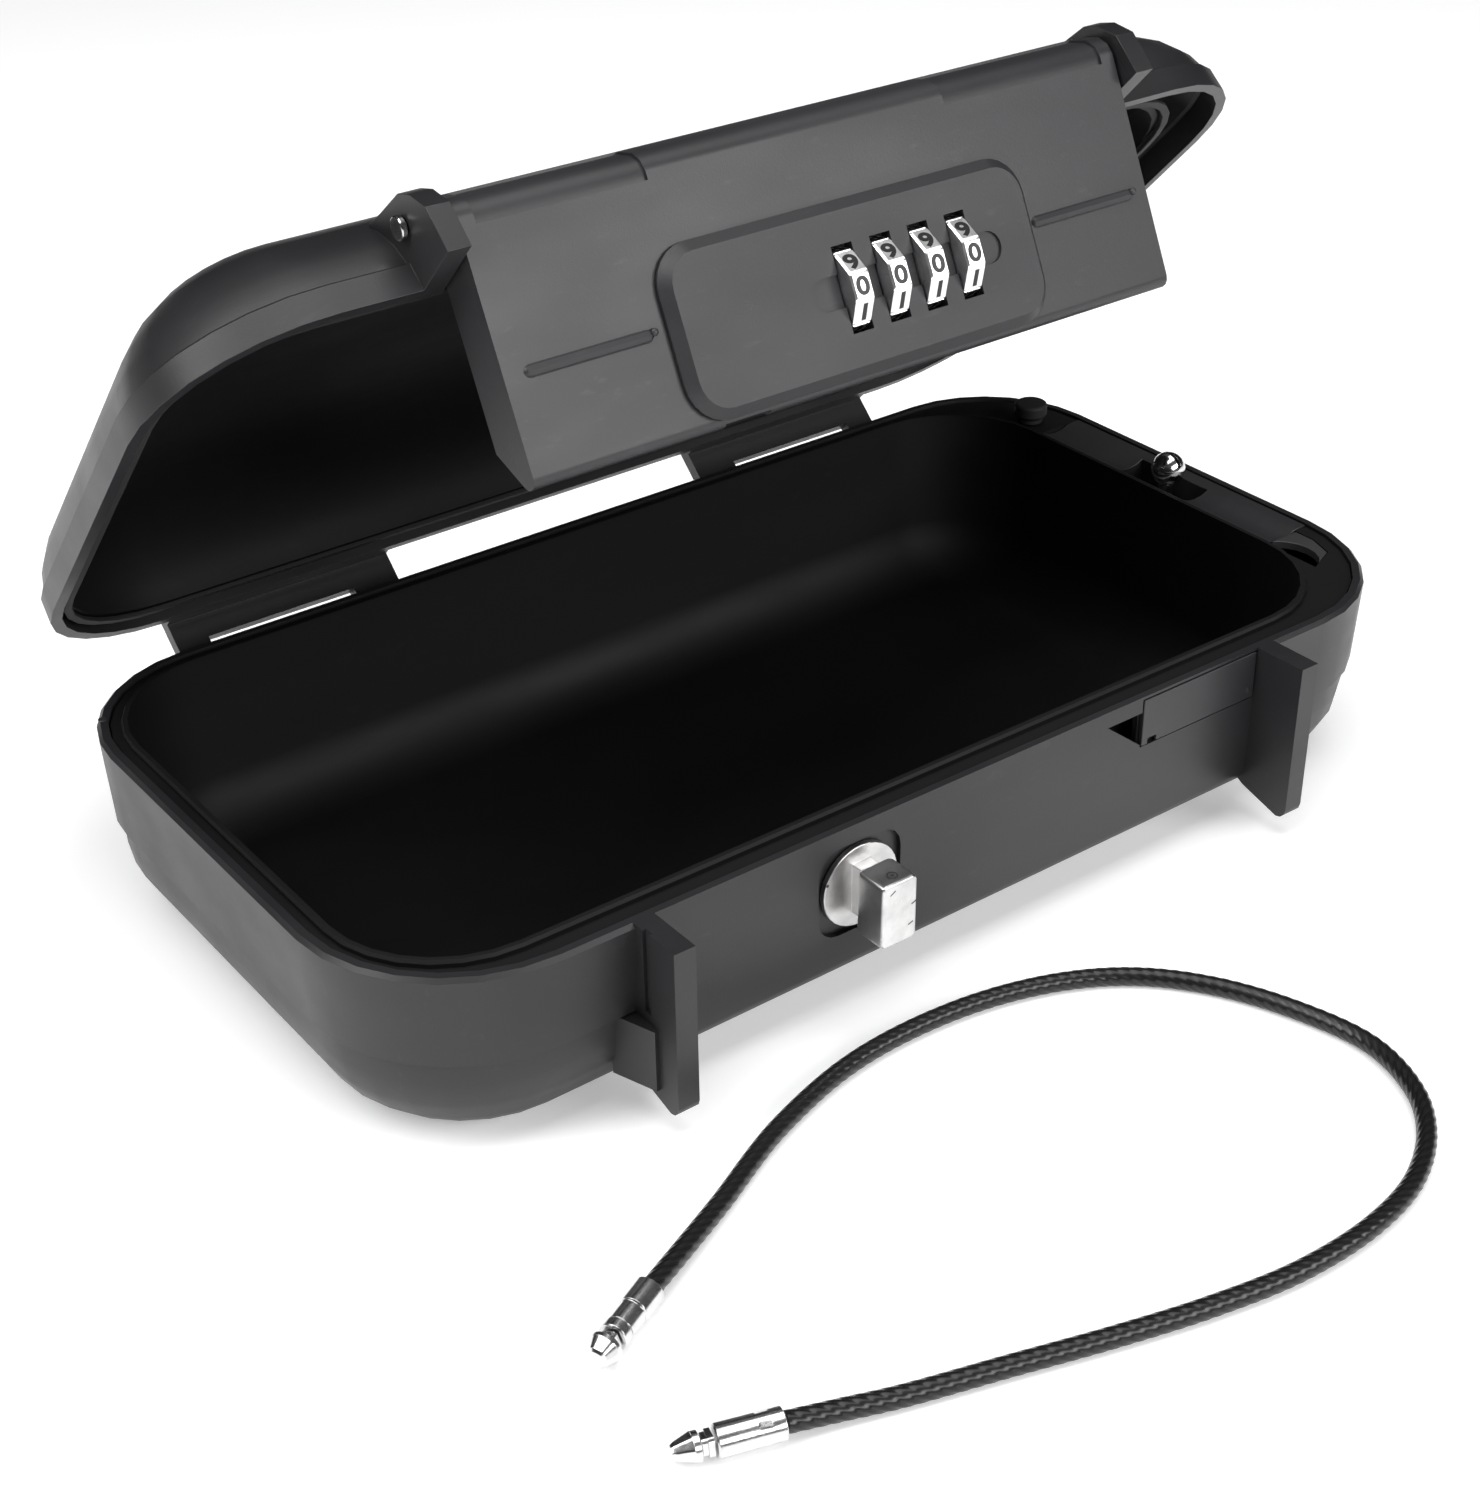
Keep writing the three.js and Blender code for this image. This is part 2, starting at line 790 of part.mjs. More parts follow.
// Dished plate over the cable bay, with the pocket in which a cable end is held
function cableBayPlate() {
  const left = bayInner + seatGap;
  const right = basePlan.right - rimLand - seatGap;
  const seat = basePlan.right - ledgeInset - seatGap;
  const top = flangeTop + bayProud;
  const middle = left + bayDishInset;
  const dish = arc(middle, top + bayDishRadius - bayDip, bayDishRadius, -32, -118, 6);
  const plate = prismY([
    [left, flangeTop - bayPlateThickness],
    [seat, flangeTop - bayPlateThickness],
    [seat, ledgeHeight + seatGap],
    [right, ledgeHeight + seatGap],
    [right, top],
    ...dish.map(([x, z]) => [x, Math.min(z, top)]),
    [left, top],
  ], -bayFront, bayRear);
  const cup = box(
    pocketLeft - pocketWall, pocketRight + pocketWall,
    -pocketFront - pocketWall, pocketRear + pocketWall,
    flangeTop - pocketDepth - pocketWall, flangeTop - bayPlateThickness + 0.5,
  );
  const pocket = box(
    pocketLeft, pocketRight,
    -pocketFront, pocketRear,
    flangeTop - pocketDepth, rimHeight + 2,
  );
  return cut(join(plate, cup), pocket);
}

function cornerPlate() {
  const plate = prismZ(cornerPlateOutline(seatGap), flangeTop - cornerPlateThickness, flangeTop);
  const centreY = -(bayFront + cornerPlateFront) / 2;
  const port = prismZ(arc(portX, centreY, portRadius, 0, 342, 19), 0, rimHeight);
  return cut(plate, port);
}

// Ball-headed steel post that a cable end snaps over
function cablePost() {
  const foot = flangeTop - pocketDepth + seatGap;
  const start = THREE.MathUtils.radToDeg(Math.asin(postNeckRadius / postBallRadius)) - 90;
  const post = turned([
    [0, foot],
    [postFootRadius, foot],
    [postFootRadius, foot + postFootHeight],
    [postNeckRadius, foot + 1.5 * postFootHeight],
    ...arc(0, postBallHeight, postBallRadius, start, 80, 8),
    [0, postBallHeight + postBallRadius],
  ], postX, postY, 24);
  const slot = box(
    postX - postSlot / 2, postX + postSlot / 2,
    postY - postBallRadius, postY + postBallRadius,
    postBallHeight + postBallRadius - postSlotDepth, postBallHeight + postBallRadius + 1,
  );
  return cut(post, slot);
}

// Soft peg that the closed lid bears on
function rubberPeg() {
  const foot = flangeTop + seatGap;
  return turned([
    [0, foot],
    [pegRadius - pegWaist, foot],
    [pegRadius - pegWaist, foot + 1.2],
    [pegRadius, foot + 2],
    [pegRadius, foot + pegHeight - 0.5],
    [pegRadius - 0.5, foot + pegHeight],
    [0, foot + pegHeight],
  ], pegX, pegY);
}

// Hammer-headed stud that the bolt catches
function lockStud() {
  const discBack = panelY + studRecessDepth - seatGap;
  const disc = rodY(studDiscRadius, studDiscFront, discBack, studX, studZ, 32);
  const shank = rodY(
    studShankRadius,
    studDiscFront + 0.5, wallBack + seatGap + studNutThickness + 0.1,
    studX, studZ,
  );
  const neck = box(
    studX - studNeckWidth / 2, studX + studNeckWidth / 2,
    studBarY - 0.5, studDiscFront + 0.5,
    studZ - studNeckHeight / 2, studZ + studNeckHeight / 2,
  );
  const halfWidth = studBarWidth / 2 - studBarEdge;
  const halfHeight = studBarHeight / 2 - studBarEdge;
  const bar = toSolid(extrude(
    roundedRectangle(
      studX - halfWidth, studX + halfWidth,
      studZ - studBarDrop - halfHeight, studZ - studBarDrop + halfHeight,
      0.5, 2,
    ),
    studBarThickness - 2 * studBarEdge,
    { bevelEnabled: true, bevelThickness: studBarEdge, bevelSize: studBarEdge, bevelSegments: 2 },
  ).rotateX(Math.PI / 2).translate(0, studBarY - studBarEdge, 0));
  return join(disc, shank, neck, bar);
}

function studNut() {
  const back = wallBack + seatGap;
  const nut = prismY(
    arc(studX, studZ, studNutWidth / Math.sqrt(3), 0, 300, 5),
    back, back + studNutThickness,
  );
  const bore = rodY(
    studShankRadius + runningGap, back - 1, back + studNutThickness + 1, studX, studZ,
  );
  return cut(nut, bore);
}

function outletCover() {
  const front = panelY - coverProud;
  const plate = box(
    coverLeft + seatGap, panelHalfWidth - seatGap,
    front, front + coverThickness,
    coverBottom + seatGap, coverTop - seatGap,
  );
  const nick = box(
    coverLeft + coverNickSetback, coverLeft + coverNickSetback + coverNickWidth,
    front - 1, front + coverThickness + 1,
    coverBottom - 1, coverBottom + coverNickHeight,
  );
  return cut(plate, nick);
}

// Lid

// Heights and insets of the lid's outer face, or of a face that lies inside it by an offset
function domeLevels(bottom, offset) {
  const insetAt = (height) => domeInset * (1 - Math.sqrt(1 - Math.min(height / domeHeight, 1) ** 2));
  const crease = lidRim + lidBandHeight;
  const levels = [
    [bottom, offset],
    [crease, insetAt(lidBandHeight) * lidBandDraft + offset],
    [crease + lidBandStep, insetAt(lidBandHeight) + lidBandStep + offset],
  ];
  for (const share of [0.42, 0.6, 0.76, 0.88, 0.96, 0.995]) {
    levels.push([lidRim + domeHeight * share - offset * share, insetAt(domeHeight * share) + offset]);
  }
  levels.push([lidRim + lidTop - offset, domeInset + offset]);
  return levels;
}

// Everything in front of the sloping wall that the flap's barrel swings past
function flapRecess(setback, reach) {
  return prismX([
    [-flapFront, rimHeight - 1],
    [-recessFoot + setback, rimHeight - 1],
    [-recessFoot + setback, recessFootZ],
    [-recessKneeY + setback, recessKneeZ],
    [-recessHeadY + setback, flapPinZ],
    [-recessHeadY + setback, lidRim + lidTop + 5],
    [-flapFront, lidRim + lidTop + 5],
  ], -hornInner - reach, hornInner + reach);
}

// Room for the tray's lip and the seal under the sloping wall
function lipRelief() {
  const reach = hornInner + lidWall + 0.1;
  return box(-reach, reach, -recessFoot - 0.5, -recessFoot + 8, rimHeight - 1, recessFootZ);
}

function hornOutline() {
  return [
    [-hornBackY, lidRim],
    [-hornBackY + hornRootDepth - 1, hornBackZ - hornRootDrop],
    [-hornBackY + hornRootDepth, hornBackZ + 1],
    [-hornBackY, hornBackZ],
    [-hornTopY, hornTopZ],
    [-hornNoseY, hornNoseZ],
    [bumperFront, hornShoulderZ],
    [bumperFront, lidRim],
  ];
}

// Arm that reaches from the lid's back wall down to the hinge pin, with its slot
function lidArm(x0, x1) {
  const outer = hingeY + armSetback;
  const inner = outer - armThickness;
  const bridge = rimHeight + 1;
  const arm = prismX([
    [inner, hingeZ],
    [outer, hingeZ],
    [outer, bridge + 4],
    [outer - armShoulder, bridge + 6.6],
    [lidPlan.rear - 1, bridge + 6],
    [lidPlan.rear - 1, bridge],
    [inner, bridge],
  ], x0, x1);
  return join(arm, rodX(barrelRadius, x0, x1, hingeY, hingeZ, barrelSides));
}

function lidShell() {
  const outside = stack(lidPlan, domeLevels(lidRim, 0));
  const inside = cut(
    stack(lidPlan, domeLevels(lidRim - 1, lidWall)),
    flapRecess(recessWall, lidWall),
  );
  const horns = [-hornOuter, hornInner].map((x) => prismX(hornOutline(), x, x + bumperWidth));
  const arms = [lidArm(-armOuter, -armInner), lidArm(armInner, armOuter)];
  const body = join(cut(outside, flapRecess(0, 0), lipRelief()), ...horns, ...arms);
  const pinHole = rodX(hingePinRadius + runningGap, -armOuter - 1, armOuter + 1, hingeY, hingeZ);
  const flapPinHole = rodX(
    flapPinRadius + runningGap, -hornOuter - 1, hornOuter + 1, -flapPinY, flapPinZ,
  );
  const slots = [-slotOuter, slotInner].map((x) => box(
    x, x + slotOuter - slotInner,
    hingeY - armThickness * 2, hingeY + armThickness * 2,
    slotBottom, slotBottom + slotHeight,
  ));
  return cut(body, inside, pinHole, flapPinHole, ...slots);
}

function linerLevels(offset) {
  const clear = lidWall + seatGap + offset;
  const insetAt = (height) => domeInset * (1 - Math.sqrt(1 - (height / domeHeight) ** 2));
  const levels = [[linerBottom, offset]];
  for (const share of [0.25, 0.42, 0.6, 0.76, 0.88, 0.96]) {
    levels.push([lidRim + domeHeight * share - clear * share, insetAt(domeHeight * share) + offset]);
  }
  levels.push([lidRim + lidTop - clear - 0.2, domeInset + offset]);
  return levels;
}

function lidInner() {
  const outside = stack(linerPlan, linerLevels(0));
  const levels = linerLevels(linerWall);
  levels[0][0] -= 1;
  const inside = stack(linerPlan, levels);
  const clear = recessWall + seatGap;
  return cut(
    cut(outside, flapRecess(clear, lidWall + seatGap)),
    cut(inside, flapRecess(clear + linerWall, lidWall + seatGap + linerWall)),
  );
}

function lidSeal() {
  const ring = (inset, margin) => stack(trayPlan, [
    [sealBottom - margin, inset],
    [sealBottom + sealHeight + margin, inset],
  ]);
  return cut(ring(-sealWidth / 2, 0), ring(sealWidth / 2, 1));
}

function flapPin() {
  const end = hornOuter + seatGap;
  const rod = rodX(flapPinRadius, -end - 0.5, end + 0.5, -flapPinY, flapPinZ);
  const heads = [-end - flapPinHeadLength, end].map((x) => rodX(
    flapPinHeadRadius, x, x + flapPinHeadLength, -flapPinY, flapPinZ, 24,
  ));
  return join(rod, ...heads);
}

// Flap

// Outer section of the flap in YZ, from its back edge round the foot, the front and the barrel
function flapOutline() {
  return [
    [-flapBack, flapBackTop],
    ...arc(-flapPinY, flapPinZ, flapBarrelRadius, -60, 105, 10),
    [-flapFront + 2.8, flapShoulderZ + 3.9],
    [-flapFront + 0.8, flapShoulderZ + 2.1],
    [-flapFront, flapShoulderZ],
    ...arc(-flapFront + flapFootRound, flapBottom + flapFootRound, flapFootRound, 180, 315, 5),
    [-flapBack, leadTop],
  ];
}

// Shallow strip along the top edge of the flap, on both sides of the flush middle
function flapStrip(x0, x1) {
  return prismX([
    [-flapFront - 2, stripBottom],
    [-flapFront + stripDepth, stripBottom],
    [-flapFront + stripDepth, flapShoulderZ + 0.1],
    [-flapFront + stripDepth + 0.8, flapShoulderZ + 1.95],
    [-flapFront + stripDepth + 2.7, flapShoulderZ + 3.4],
    [-flapPinY - 1, flapPinZ + flapBarrelRadius - stripDepth],
    [-flapPinY - 1, flapPinZ + flapBarrelRadius + 2],
    [-flapFront - 2, flapPinZ + flapBarrelRadius + 2],
  ], x0, x1);
}

// The slot up which the stud rides; its mouth slopes both ways, so the stud can't catch on it
function studChannel() {
  const floor = studTip - studTipGap;
  const lip = -flapFront + channelLip;
  return prismX([
    [0, 0],
    [-flapFront + channelMouth, 0],
    [-flapFront + channelMouth, channelLipTop - channelLip + channelMouth],
    [lip, channelLipTop],
    [floor, channelLipTop + lip - floor],
    [floor, studZ + studBarHeight / 2 + channelTopGap],
    [0, studZ + studBarHeight / 2 + channelTopGap],
  ], studX - channelHalf, studX + channelHalf);
}

function flapRib(x0, x1) {
  const rib = new THREE.CapsuleGeometry(ribRadius, x1 - x0 - 2 * ribRadius, 3, 10);
  rib.rotateZ(Math.PI / 2).translate((x0 + x1) / 2, -flapFront + ribRadius - ribProud, ribZ);
  return toSolid(rib);
}

function flapCover() {
  const shell = prismX(flapOutline(), -flapHalfWidth, flapHalfWidth);
  const sideWall = flapHalfWidth - flapWall;
  const innerFront = -flapFront + flapWall;
  const plateSeat = backPlateFront - seatGap;
  const rebate = box(
    -sideWall, sideWall,
    plateSeat, 0,
    rebateBottom, flapBackTop + backPlateRise,
  );
  const lead = leadWall * Math.SQRT2;
  const low = flapBottom + 2 * flapWall;
  const hollow = prismX([
    [innerFront, low],
    [footTangentY + low - footTangentZ - lead, low],
    [plateSeat, plateSeat - footTangentY + footTangentZ + lead],
    [plateSeat, rebateBottom],
    [0, rebateBottom],
    [0, flapBackTop + 0.5],
    [innerFront, flapBackTop + 0.5],
  ], -sideWall + flapLedge, sideWall - flapLedge);
  const bosses = screwPlaces().map(([x, z]) => rodY(
    bossRadius, -flapFront + 1, plateSeat, x, z,
  ));
  const bossHoles = screwPlaces().map(([x, z]) => rodY(
    screwRadius + runningGap, innerFront, 0, x, z, 12,
  ));
  const aperture = box(
    panelLeft + apertureMargin, panelRight - apertureMargin,
    -flapFront - 1, innerFront + 1,
    apertureBottom, apertureTop,
  );
  const ribs = [
    flapRib(-ribOuter, -ribInner),
    flapRib(ribInner, ribOuter),
  ];
  const strips = [
    flapStrip(-stripOuter, -stripInner - stripShift),
    flapStrip(stripInner, stripOuter),
  ];
  const bore = rodX(
    flapPinRadius + runningGap, -flapHalfWidth - 1, flapHalfWidth + 1, -flapPinY, flapPinZ,
  );
  const hollowed = join(cut(shell, rebate, hollow), ...bosses, ...ribs);
  return cut(hollowed, ...bossHoles, aperture, studChannel(), ...strips, bore);
}

// Corners at which the back plate is screwed down
function screwPlaces() {
  return [
    [-screwX, screwLowZ],
    [screwX, screwLowZ],
    [-screwX, screwHighZ],
    [screwX, screwHighZ],
  ];
}

function dialPlaces() {
  return Array.from({ length: dialCount }, (_, i) => firstDialX + i * dialPitch);
}

function dialWindow(x, y0, y1) {
  return box(
    x - windowWidth / 2, x + windowWidth / 2,
    y0, y1,
    dialAxisZ - windowHeight / 2, dialAxisZ + windowHeight / 2,
  );
}

// Raised panel with bevelled edges, the dial windows and the groove that marks the reading line
function lockPanel() {
  const plate = (margin) => roundedRectangle(
    panelLeft + margin, panelRight - margin,
    lockPanelBottom + margin, lockPanelTop - margin,
    lockPanelRadius - margin, 6,
  );
  const face = -lockPanelFront;
  const rings = [
    [lockPanelBack, 0],
    [lockPanelBack - lockPanelFoot, 0],
    [face, lockPanelBevel],
  ].map(([y, margin]) => plate(margin).map(([x, z]) => [x, y, z]));
  const windows = dialPlaces().map((x) => dialWindow(x, face - 1, lockPanelBack + 1));
  const pill = prismY(
    roundedRectangle(
      firstDialX - pillMargin - windowWidth / 2, lastDialX + pillMargin + windowWidth / 2,
      dialAxisZ - pillHeight / 2, dialAxisZ + pillHeight / 2,
      pillHeight / 2 - 0.01, 6,
    ),
    face - 1, face + pillDepth,
  );
  const earSeats = [frameLeft, frameRight - frameThickness].map((x) => box(
    x - seatGap, x + frameThickness + seatGap,
    lockPanelBack - 1, lockPanelBack + 1,
    frameBottom - seatGap, earTop + seatGap,
  ));
  return cut(ringSolid(rings), ...windows, pill, ...earSeats, studChannel());
}

function backPlate() {
  const edge = flapHalfWidth - flapWall - seatGap;
  const plate = box(
    -edge, edge,
    backPlateFront, -flapBack,
    rebateBottom + seatGap, flapBackTop + backPlateRise - seatGap,
  );
  const heads = screwPlaces().map(([x, z]) => rodY(
    screwHeadRadius + runningGap, -flapBack - screwHeadHeight, 0, x, z,
  ));
  const holes = screwPlaces().map(([x, z]) => rodY(
    screwRadius + runningGap, -flapFront, 0, x, z, 12,
  ));
  const dialSlot = box(
    firstDialX - windowWidth / 2, lastDialX + windowWidth / 2,
    backPlateFront - 1, 0,
    dialAxisZ - windowHeight / 2, dialAxisZ + windowHeight / 2,
  );
  return cut(plate, ...heads, ...holes, dialSlot, studChannel());
}

function backScrew([x, z]) {
  const headFront = -flapBack - screwHeadHeight + seatGap;
  return join(
    rodY(screwHeadRadius, headFront, -flapBack + 0.1, x, z),
    rodY(screwRadius, -flapFront + flapWall + screwTipGap, headFront + 0.1, x, z, 12),
  );
}

// Bent steel bracket that carries the dials' spindle between two ears
function lockFrame() {
  const front = lockPanelBack - earDepth;
  const ears = [frameLeft, frameRight - frameThickness].map((x) => prismX([
    [-frameBack, frameBottom],
    [-frameBack, frameTop],
    [lockPanelBack + worksGap, frameTop],
    [lockPanelBack + worksGap, earTop],
    [front, earTop],
    [front, frameBottom],
  ], x, x + frameThickness));
  const floor = box(
    frameLeft, frameRight,
    lockPanelBack + worksGap, -frameBack,
    frameBottom, frameBottom + frameThickness,
  );
  const bore = rodX(
    spindleRadius + runningGap, frameLeft - 1, frameRight + 1, -dialAxisY, dialAxisZ,
  );
  return cut(join(...ears, floor), bore);
}

// Comb of leaf springs, one tongue over each dial
function clickSprings() {
  const low = dialAxisZ + dialRadius + springRise;
  const left = frameLeft + frameThickness + seatGap;
  const right = frameRight - frameThickness - seatGap;
  const front = lockPanelBack + springSetback;
  const comb = box(left, right, front, -frameBack, low, low + springThickness);
  const slits = dialPlaces().slice(1).map((x) => box(
    x - (dialPitch + springSlit) / 2, x - (dialPitch - springSlit) / 2,
    lockPanelBack, -frameBack - 2,
    low - 1, low + 1 + springThickness,
  ));
  return cut(comb, ...slits);
}

// Ten-sided wheel turning on the spindle, with a groove between each two facets
function dial(x) {
  const facet = 360 / dialFacets;
  const corners = (radius, start) => arc(0, 0, radius, start, start + 360 - facet, dialFacets - 1);
  const wheel = extrude(corners(dialRadius - dialBevel, 90 + facet / 2), dialWidth - 2 * dialBevel, {
    bevelEnabled: true,
    bevelThickness: dialBevel,
    bevelSize: dialBevel,
    bevelSegments: 1,
  });
  wheel.rotateY(Math.PI / 2).translate(x - dialWidth / 2 + dialBevel, -dialAxisY, dialAxisZ);
  const grooves = corners(dialRadius, facet / 2).map(([across, up]) => {
    const y = across - dialAxisY;
    const z = up + dialAxisZ;
    return prismX([
      [y - dialGroove, z],
      [y, z - dialGroove],
      [y + dialGroove, z],
      [y, z + dialGroove],
    ], x - dialWidth, x + dialWidth);
  });
  const bore = rodX(spindleRadius + runningGap, x - dialWidth, x + dialWidth, -dialAxisY, dialAxisZ);
  return cut(toSolid(wheel), ...grooves, bore);
}

function dialSpindle() {
  const left = frameLeft - tabSetback - collarLength - seatGap;
  const right = frameRight + boltTravel + seatGap;
  return join(
    rodX(spindleRadius, left, right + 0.5, -dialAxisY, dialAxisZ),
    rodX(collarRadius, left, left + collarLength, -dialAxisY, dialAxisZ),
    rodX(collarRadius, right, right + collarLength, -dialAxisY, dialAxisZ),
  );
}

// Sliding bolt whose tip runs behind the bar of the stud
function lockBolt() {
  const tabLeft = frameLeft - tabSetback;
  const tabRight = tabLeft + tabWidth;
  const slide = box(
    boltTip, tabRight,
    boltBack - boltThickness, boltBack,
    boltBottom, boltTop,
  );
  const tab = box(
    tabLeft, tabRight,
    lockPanelBack + worksGap, boltBack,
    dialAxisZ - tabDrop, boltTop,
  );
  const bore = rodX(
    spindleRadius + runningGap, tabLeft - 1, tabRight + 1, -dialAxisY, dialAxisZ,
  );
  return cut(join(slide, tab), bore);
}

// Cable and its two end fittings

function vectorAt(index) {
  return new THREE.Vector3(...cableRoute.at(index));
}

function cableTube() {
  const curve = new THREE.CatmullRomCurve3(cableRoute.map((point) => new THREE.Vector3(...point)));
  const rim = arc(0, 0, cableRadius, 0, 360 - 360 / cableSides, cableSides - 1);
  const section = new THREE.Shape(rim.map(([x, y]) => new THREE.Vector2(x, y)));
  return toSolid(new THREE.ExtrudeGeometry(section, {
    steps: cableSteps,
    extrudePath: curve,
    bevelEnabled: false,
  }));
}

// Turned fitting that points away from one end of the cable; the profile starts at the cable's face
function fitting(profile, endIndex, beforeIndex, sides) {
  const end = vectorAt(endIndex);
  const direction = end.clone().sub(vectorAt(beforeIndex)).setZ(0).normalize();
  const points = profile.map(([radius, along]) => new THREE.Vector2(radius, along));
  const turn = new THREE.Quaternion().setFromUnitVectors(new THREE.Vector3(0, 1, 0), direction);
  const place = new THREE.Matrix4().compose(end, turn, new THREE.Vector3(1, 1, 1));
  return toSolid(new THREE.LatheGeometry(points, sides).applyMatrix4(place));
}

function ferruleProfile(length) {
  return [
    [0, seatGap],
    [ferruleRadius - 0.3, seatGap],
    [ferruleRadius, seatGap + 0.4],
    [ferruleRadius, length - 0.4],
    [ferruleRadius - 0.4, length],
    [0, length],
  ];
}

// Mushroom head that snaps into a socket
function mushroomProfile() {
  const start = ferruleLengthA + seatGap;
  const neckEnd = start + endNeckLength;
  return [
    [0, start],
    [endNeckRadius, start],
    [endNeckRadius, neckEnd],
    [endHeadRadius - 0.3, neckEnd],
    [endHeadRadius, neckEnd + 0.5],
    [endHeadRadius - 0.5, neckEnd + 2],
    [endHeadRadius - 1.5, neckEnd + endHeadLength - 1.95],
    [0, neckEnd + endHeadLength - 1.6],
  ];
}

// Conical head behind a slim neck
function coneProfile() {
  const start = ferruleLengthB + seatGap;
  const neckEnd = start + endNeckLength;
  return [
    [0, start],
    [endNeckRadius, start],
    [endNeckRadius, neckEnd],
    [ferruleRadius - 0.3, neckEnd],
    [ferruleRadius, neckEnd + 0.6],
    [ferruleRadius - 0.2, neckEnd + 1.8],
    [1.3, neckEnd + endHeadLength],
    [0, neckEnd + endHeadLength],
  ];
}

// Assembly

const shellBlack = black(0.42);
const linerBlack = black(0.7, '#0c0c0d');
const cover = black(0.38, '#2c2c2f');

const safe = new THREE.Group();
safe.add(
  piece('base_shell', baseShell(), shellBlack.clone()),
  piece('base_inner', baseInner(), linerBlack.clone()),
  piece('cable_bay_plate', cableBayPlate(), black(0.45, '#39393c')),
  piece('corner_plate', cornerPlate(), black(0.5, '#47474a')),
  piece('cable_post', cablePost(), steel(0.15)),
  piece('rubber_peg', rubberPeg(), black(0.85, '#0b0b0c')),
  piece('lock_stud', lockStud(), steel(0.28)),
  piece('stud_nut', studNut(), steel(0.4)),
  piece('outlet_cover', outletCover(), black(0.45, '#2a2a2c')),
);
padPlaces().forEach((place, i) => {
  safe.add(piece(`standing_pad_${i + 1}`, standingPad(place), black(0.85, '#0b0b0c')));
});
const hingePin = (x) => rodX(
  hingePinRadius, x, x + armOuter - armInner + 2 * lugWidth, hingeY, hingeZ,
);
safe.add(
  piece('hinge_pin_left', hingePin(-armOuter - lugWidth), steel(0.35)),
  piece('hinge_pin_right', hingePin(armInner - lugWidth), steel(0.35)),
);
safe.add(
  piece('cable', cableTube(), black(0.35, '#161617')),
  piece('cable_ferrule_a', fitting(ferruleProfile(ferruleLengthA), 0, 2, 16), steel(0.25)),
  piece('cable_head_a', fitting(mushroomProfile(), 0, 2, 16), steel(0.2)),
  piece('cable_ferrule_b', fitting(ferruleProfile(ferruleLengthB), -1, -3, 16), steel(0.25)),
  piece('cable_head_b', fitting(coneProfile(), -1, -3, 8), steel(0.2)),
);

// The lid stands open, turned about the hinge pins
const lid = new THREE.Group();
lid.position.set(0, hingeY, hingeZ);
lid.rotation.x = THREE.MathUtils.degToRad(-openAngle);
safe.add(lid);
const lidParts = new THREE.Group();
lidParts.position.set(0, -hingeY, -hingeZ);
lidParts.add(
  piece('lid_shell', lidShell(), shellBlack.clone()),
  piece('lid_inner', lidInner(), linerBlack.clone()),
  piece('lid_seal', lidSeal(), black(0.8, '#101011')),
  piece('flap_pin', flapPin(), steel(0.3)),
);
lid.add(lidParts);

// The flap hangs from its pin, swung out from the lid's front
const flap = new THREE.Group();
flap.position.set(0, -flapPinY, flapPinZ);
flap.rotation.x = THREE.MathUtils.degToRad(flapTilt);
lidParts.add(flap);
const flapParts = new THREE.Group();
flapParts.position.set(0, flapPinY, -flapPinZ);
flapParts.add(
  piece('flap_cover', flapCover(), cover.clone()),
  piece('lock_panel', lockPanel(), cover.clone()),
  piece('back_plate', backPlate(), linerBlack.clone()),
  piece('lock_frame', lockFrame(), steel(0.45)),
  piece('click_springs', clickSprings(), steel(0.35)),
  piece('dial_spindle', dialSpindle(), steel(0.3)),
  piece('lock_bolt', lockBolt(), steel(0.35)),
);
screwPlaces().forEach((place, i) => {
  flapParts.add(piece(`back_screw_${i + 1}`, backScrew(place), steel(0.4)));
});
dialPlaces().forEach((x, i) => {
  flapParts.add(piece(`dial_${i + 1}`, dial(x), steel(0.3, '#e2e2e2')));
});
flap.add(flapParts);

export default safe;
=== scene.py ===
# Portable safe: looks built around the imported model, in metres and in its frame.
# One section for each piece, in the order in which the safe is put together.
import math

import bmesh
import bpy
from mathutils import Matrix, Vector


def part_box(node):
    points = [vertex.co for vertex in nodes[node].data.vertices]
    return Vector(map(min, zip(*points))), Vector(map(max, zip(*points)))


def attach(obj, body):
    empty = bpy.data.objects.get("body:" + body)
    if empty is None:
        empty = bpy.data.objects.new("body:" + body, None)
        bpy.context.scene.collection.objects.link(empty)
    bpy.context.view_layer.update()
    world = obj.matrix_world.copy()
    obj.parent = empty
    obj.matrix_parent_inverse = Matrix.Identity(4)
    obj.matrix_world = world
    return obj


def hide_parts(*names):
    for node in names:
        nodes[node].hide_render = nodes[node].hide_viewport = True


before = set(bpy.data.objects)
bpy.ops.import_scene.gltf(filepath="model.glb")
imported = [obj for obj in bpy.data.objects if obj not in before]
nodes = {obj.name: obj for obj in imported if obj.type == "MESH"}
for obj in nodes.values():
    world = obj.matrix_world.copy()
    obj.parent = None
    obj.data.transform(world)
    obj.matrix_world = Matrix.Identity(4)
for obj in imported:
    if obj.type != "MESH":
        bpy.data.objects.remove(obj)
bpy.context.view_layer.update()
MM = 0.001

# Camera
# A long lens above and to the left of the safe, turned by under a degree about its own axis.
# The lens is set against the longer side of the picture, which is its height.
LENS = 59.67
CAMERA_PLACE = Vector((-0.2769, -0.3641, 0.2968))
CAMERA_AZIMUTH = math.radians(-36.60)
CAMERA_RISE = math.radians(31.69)
CAMERA_ROLL = math.radians(-0.81)

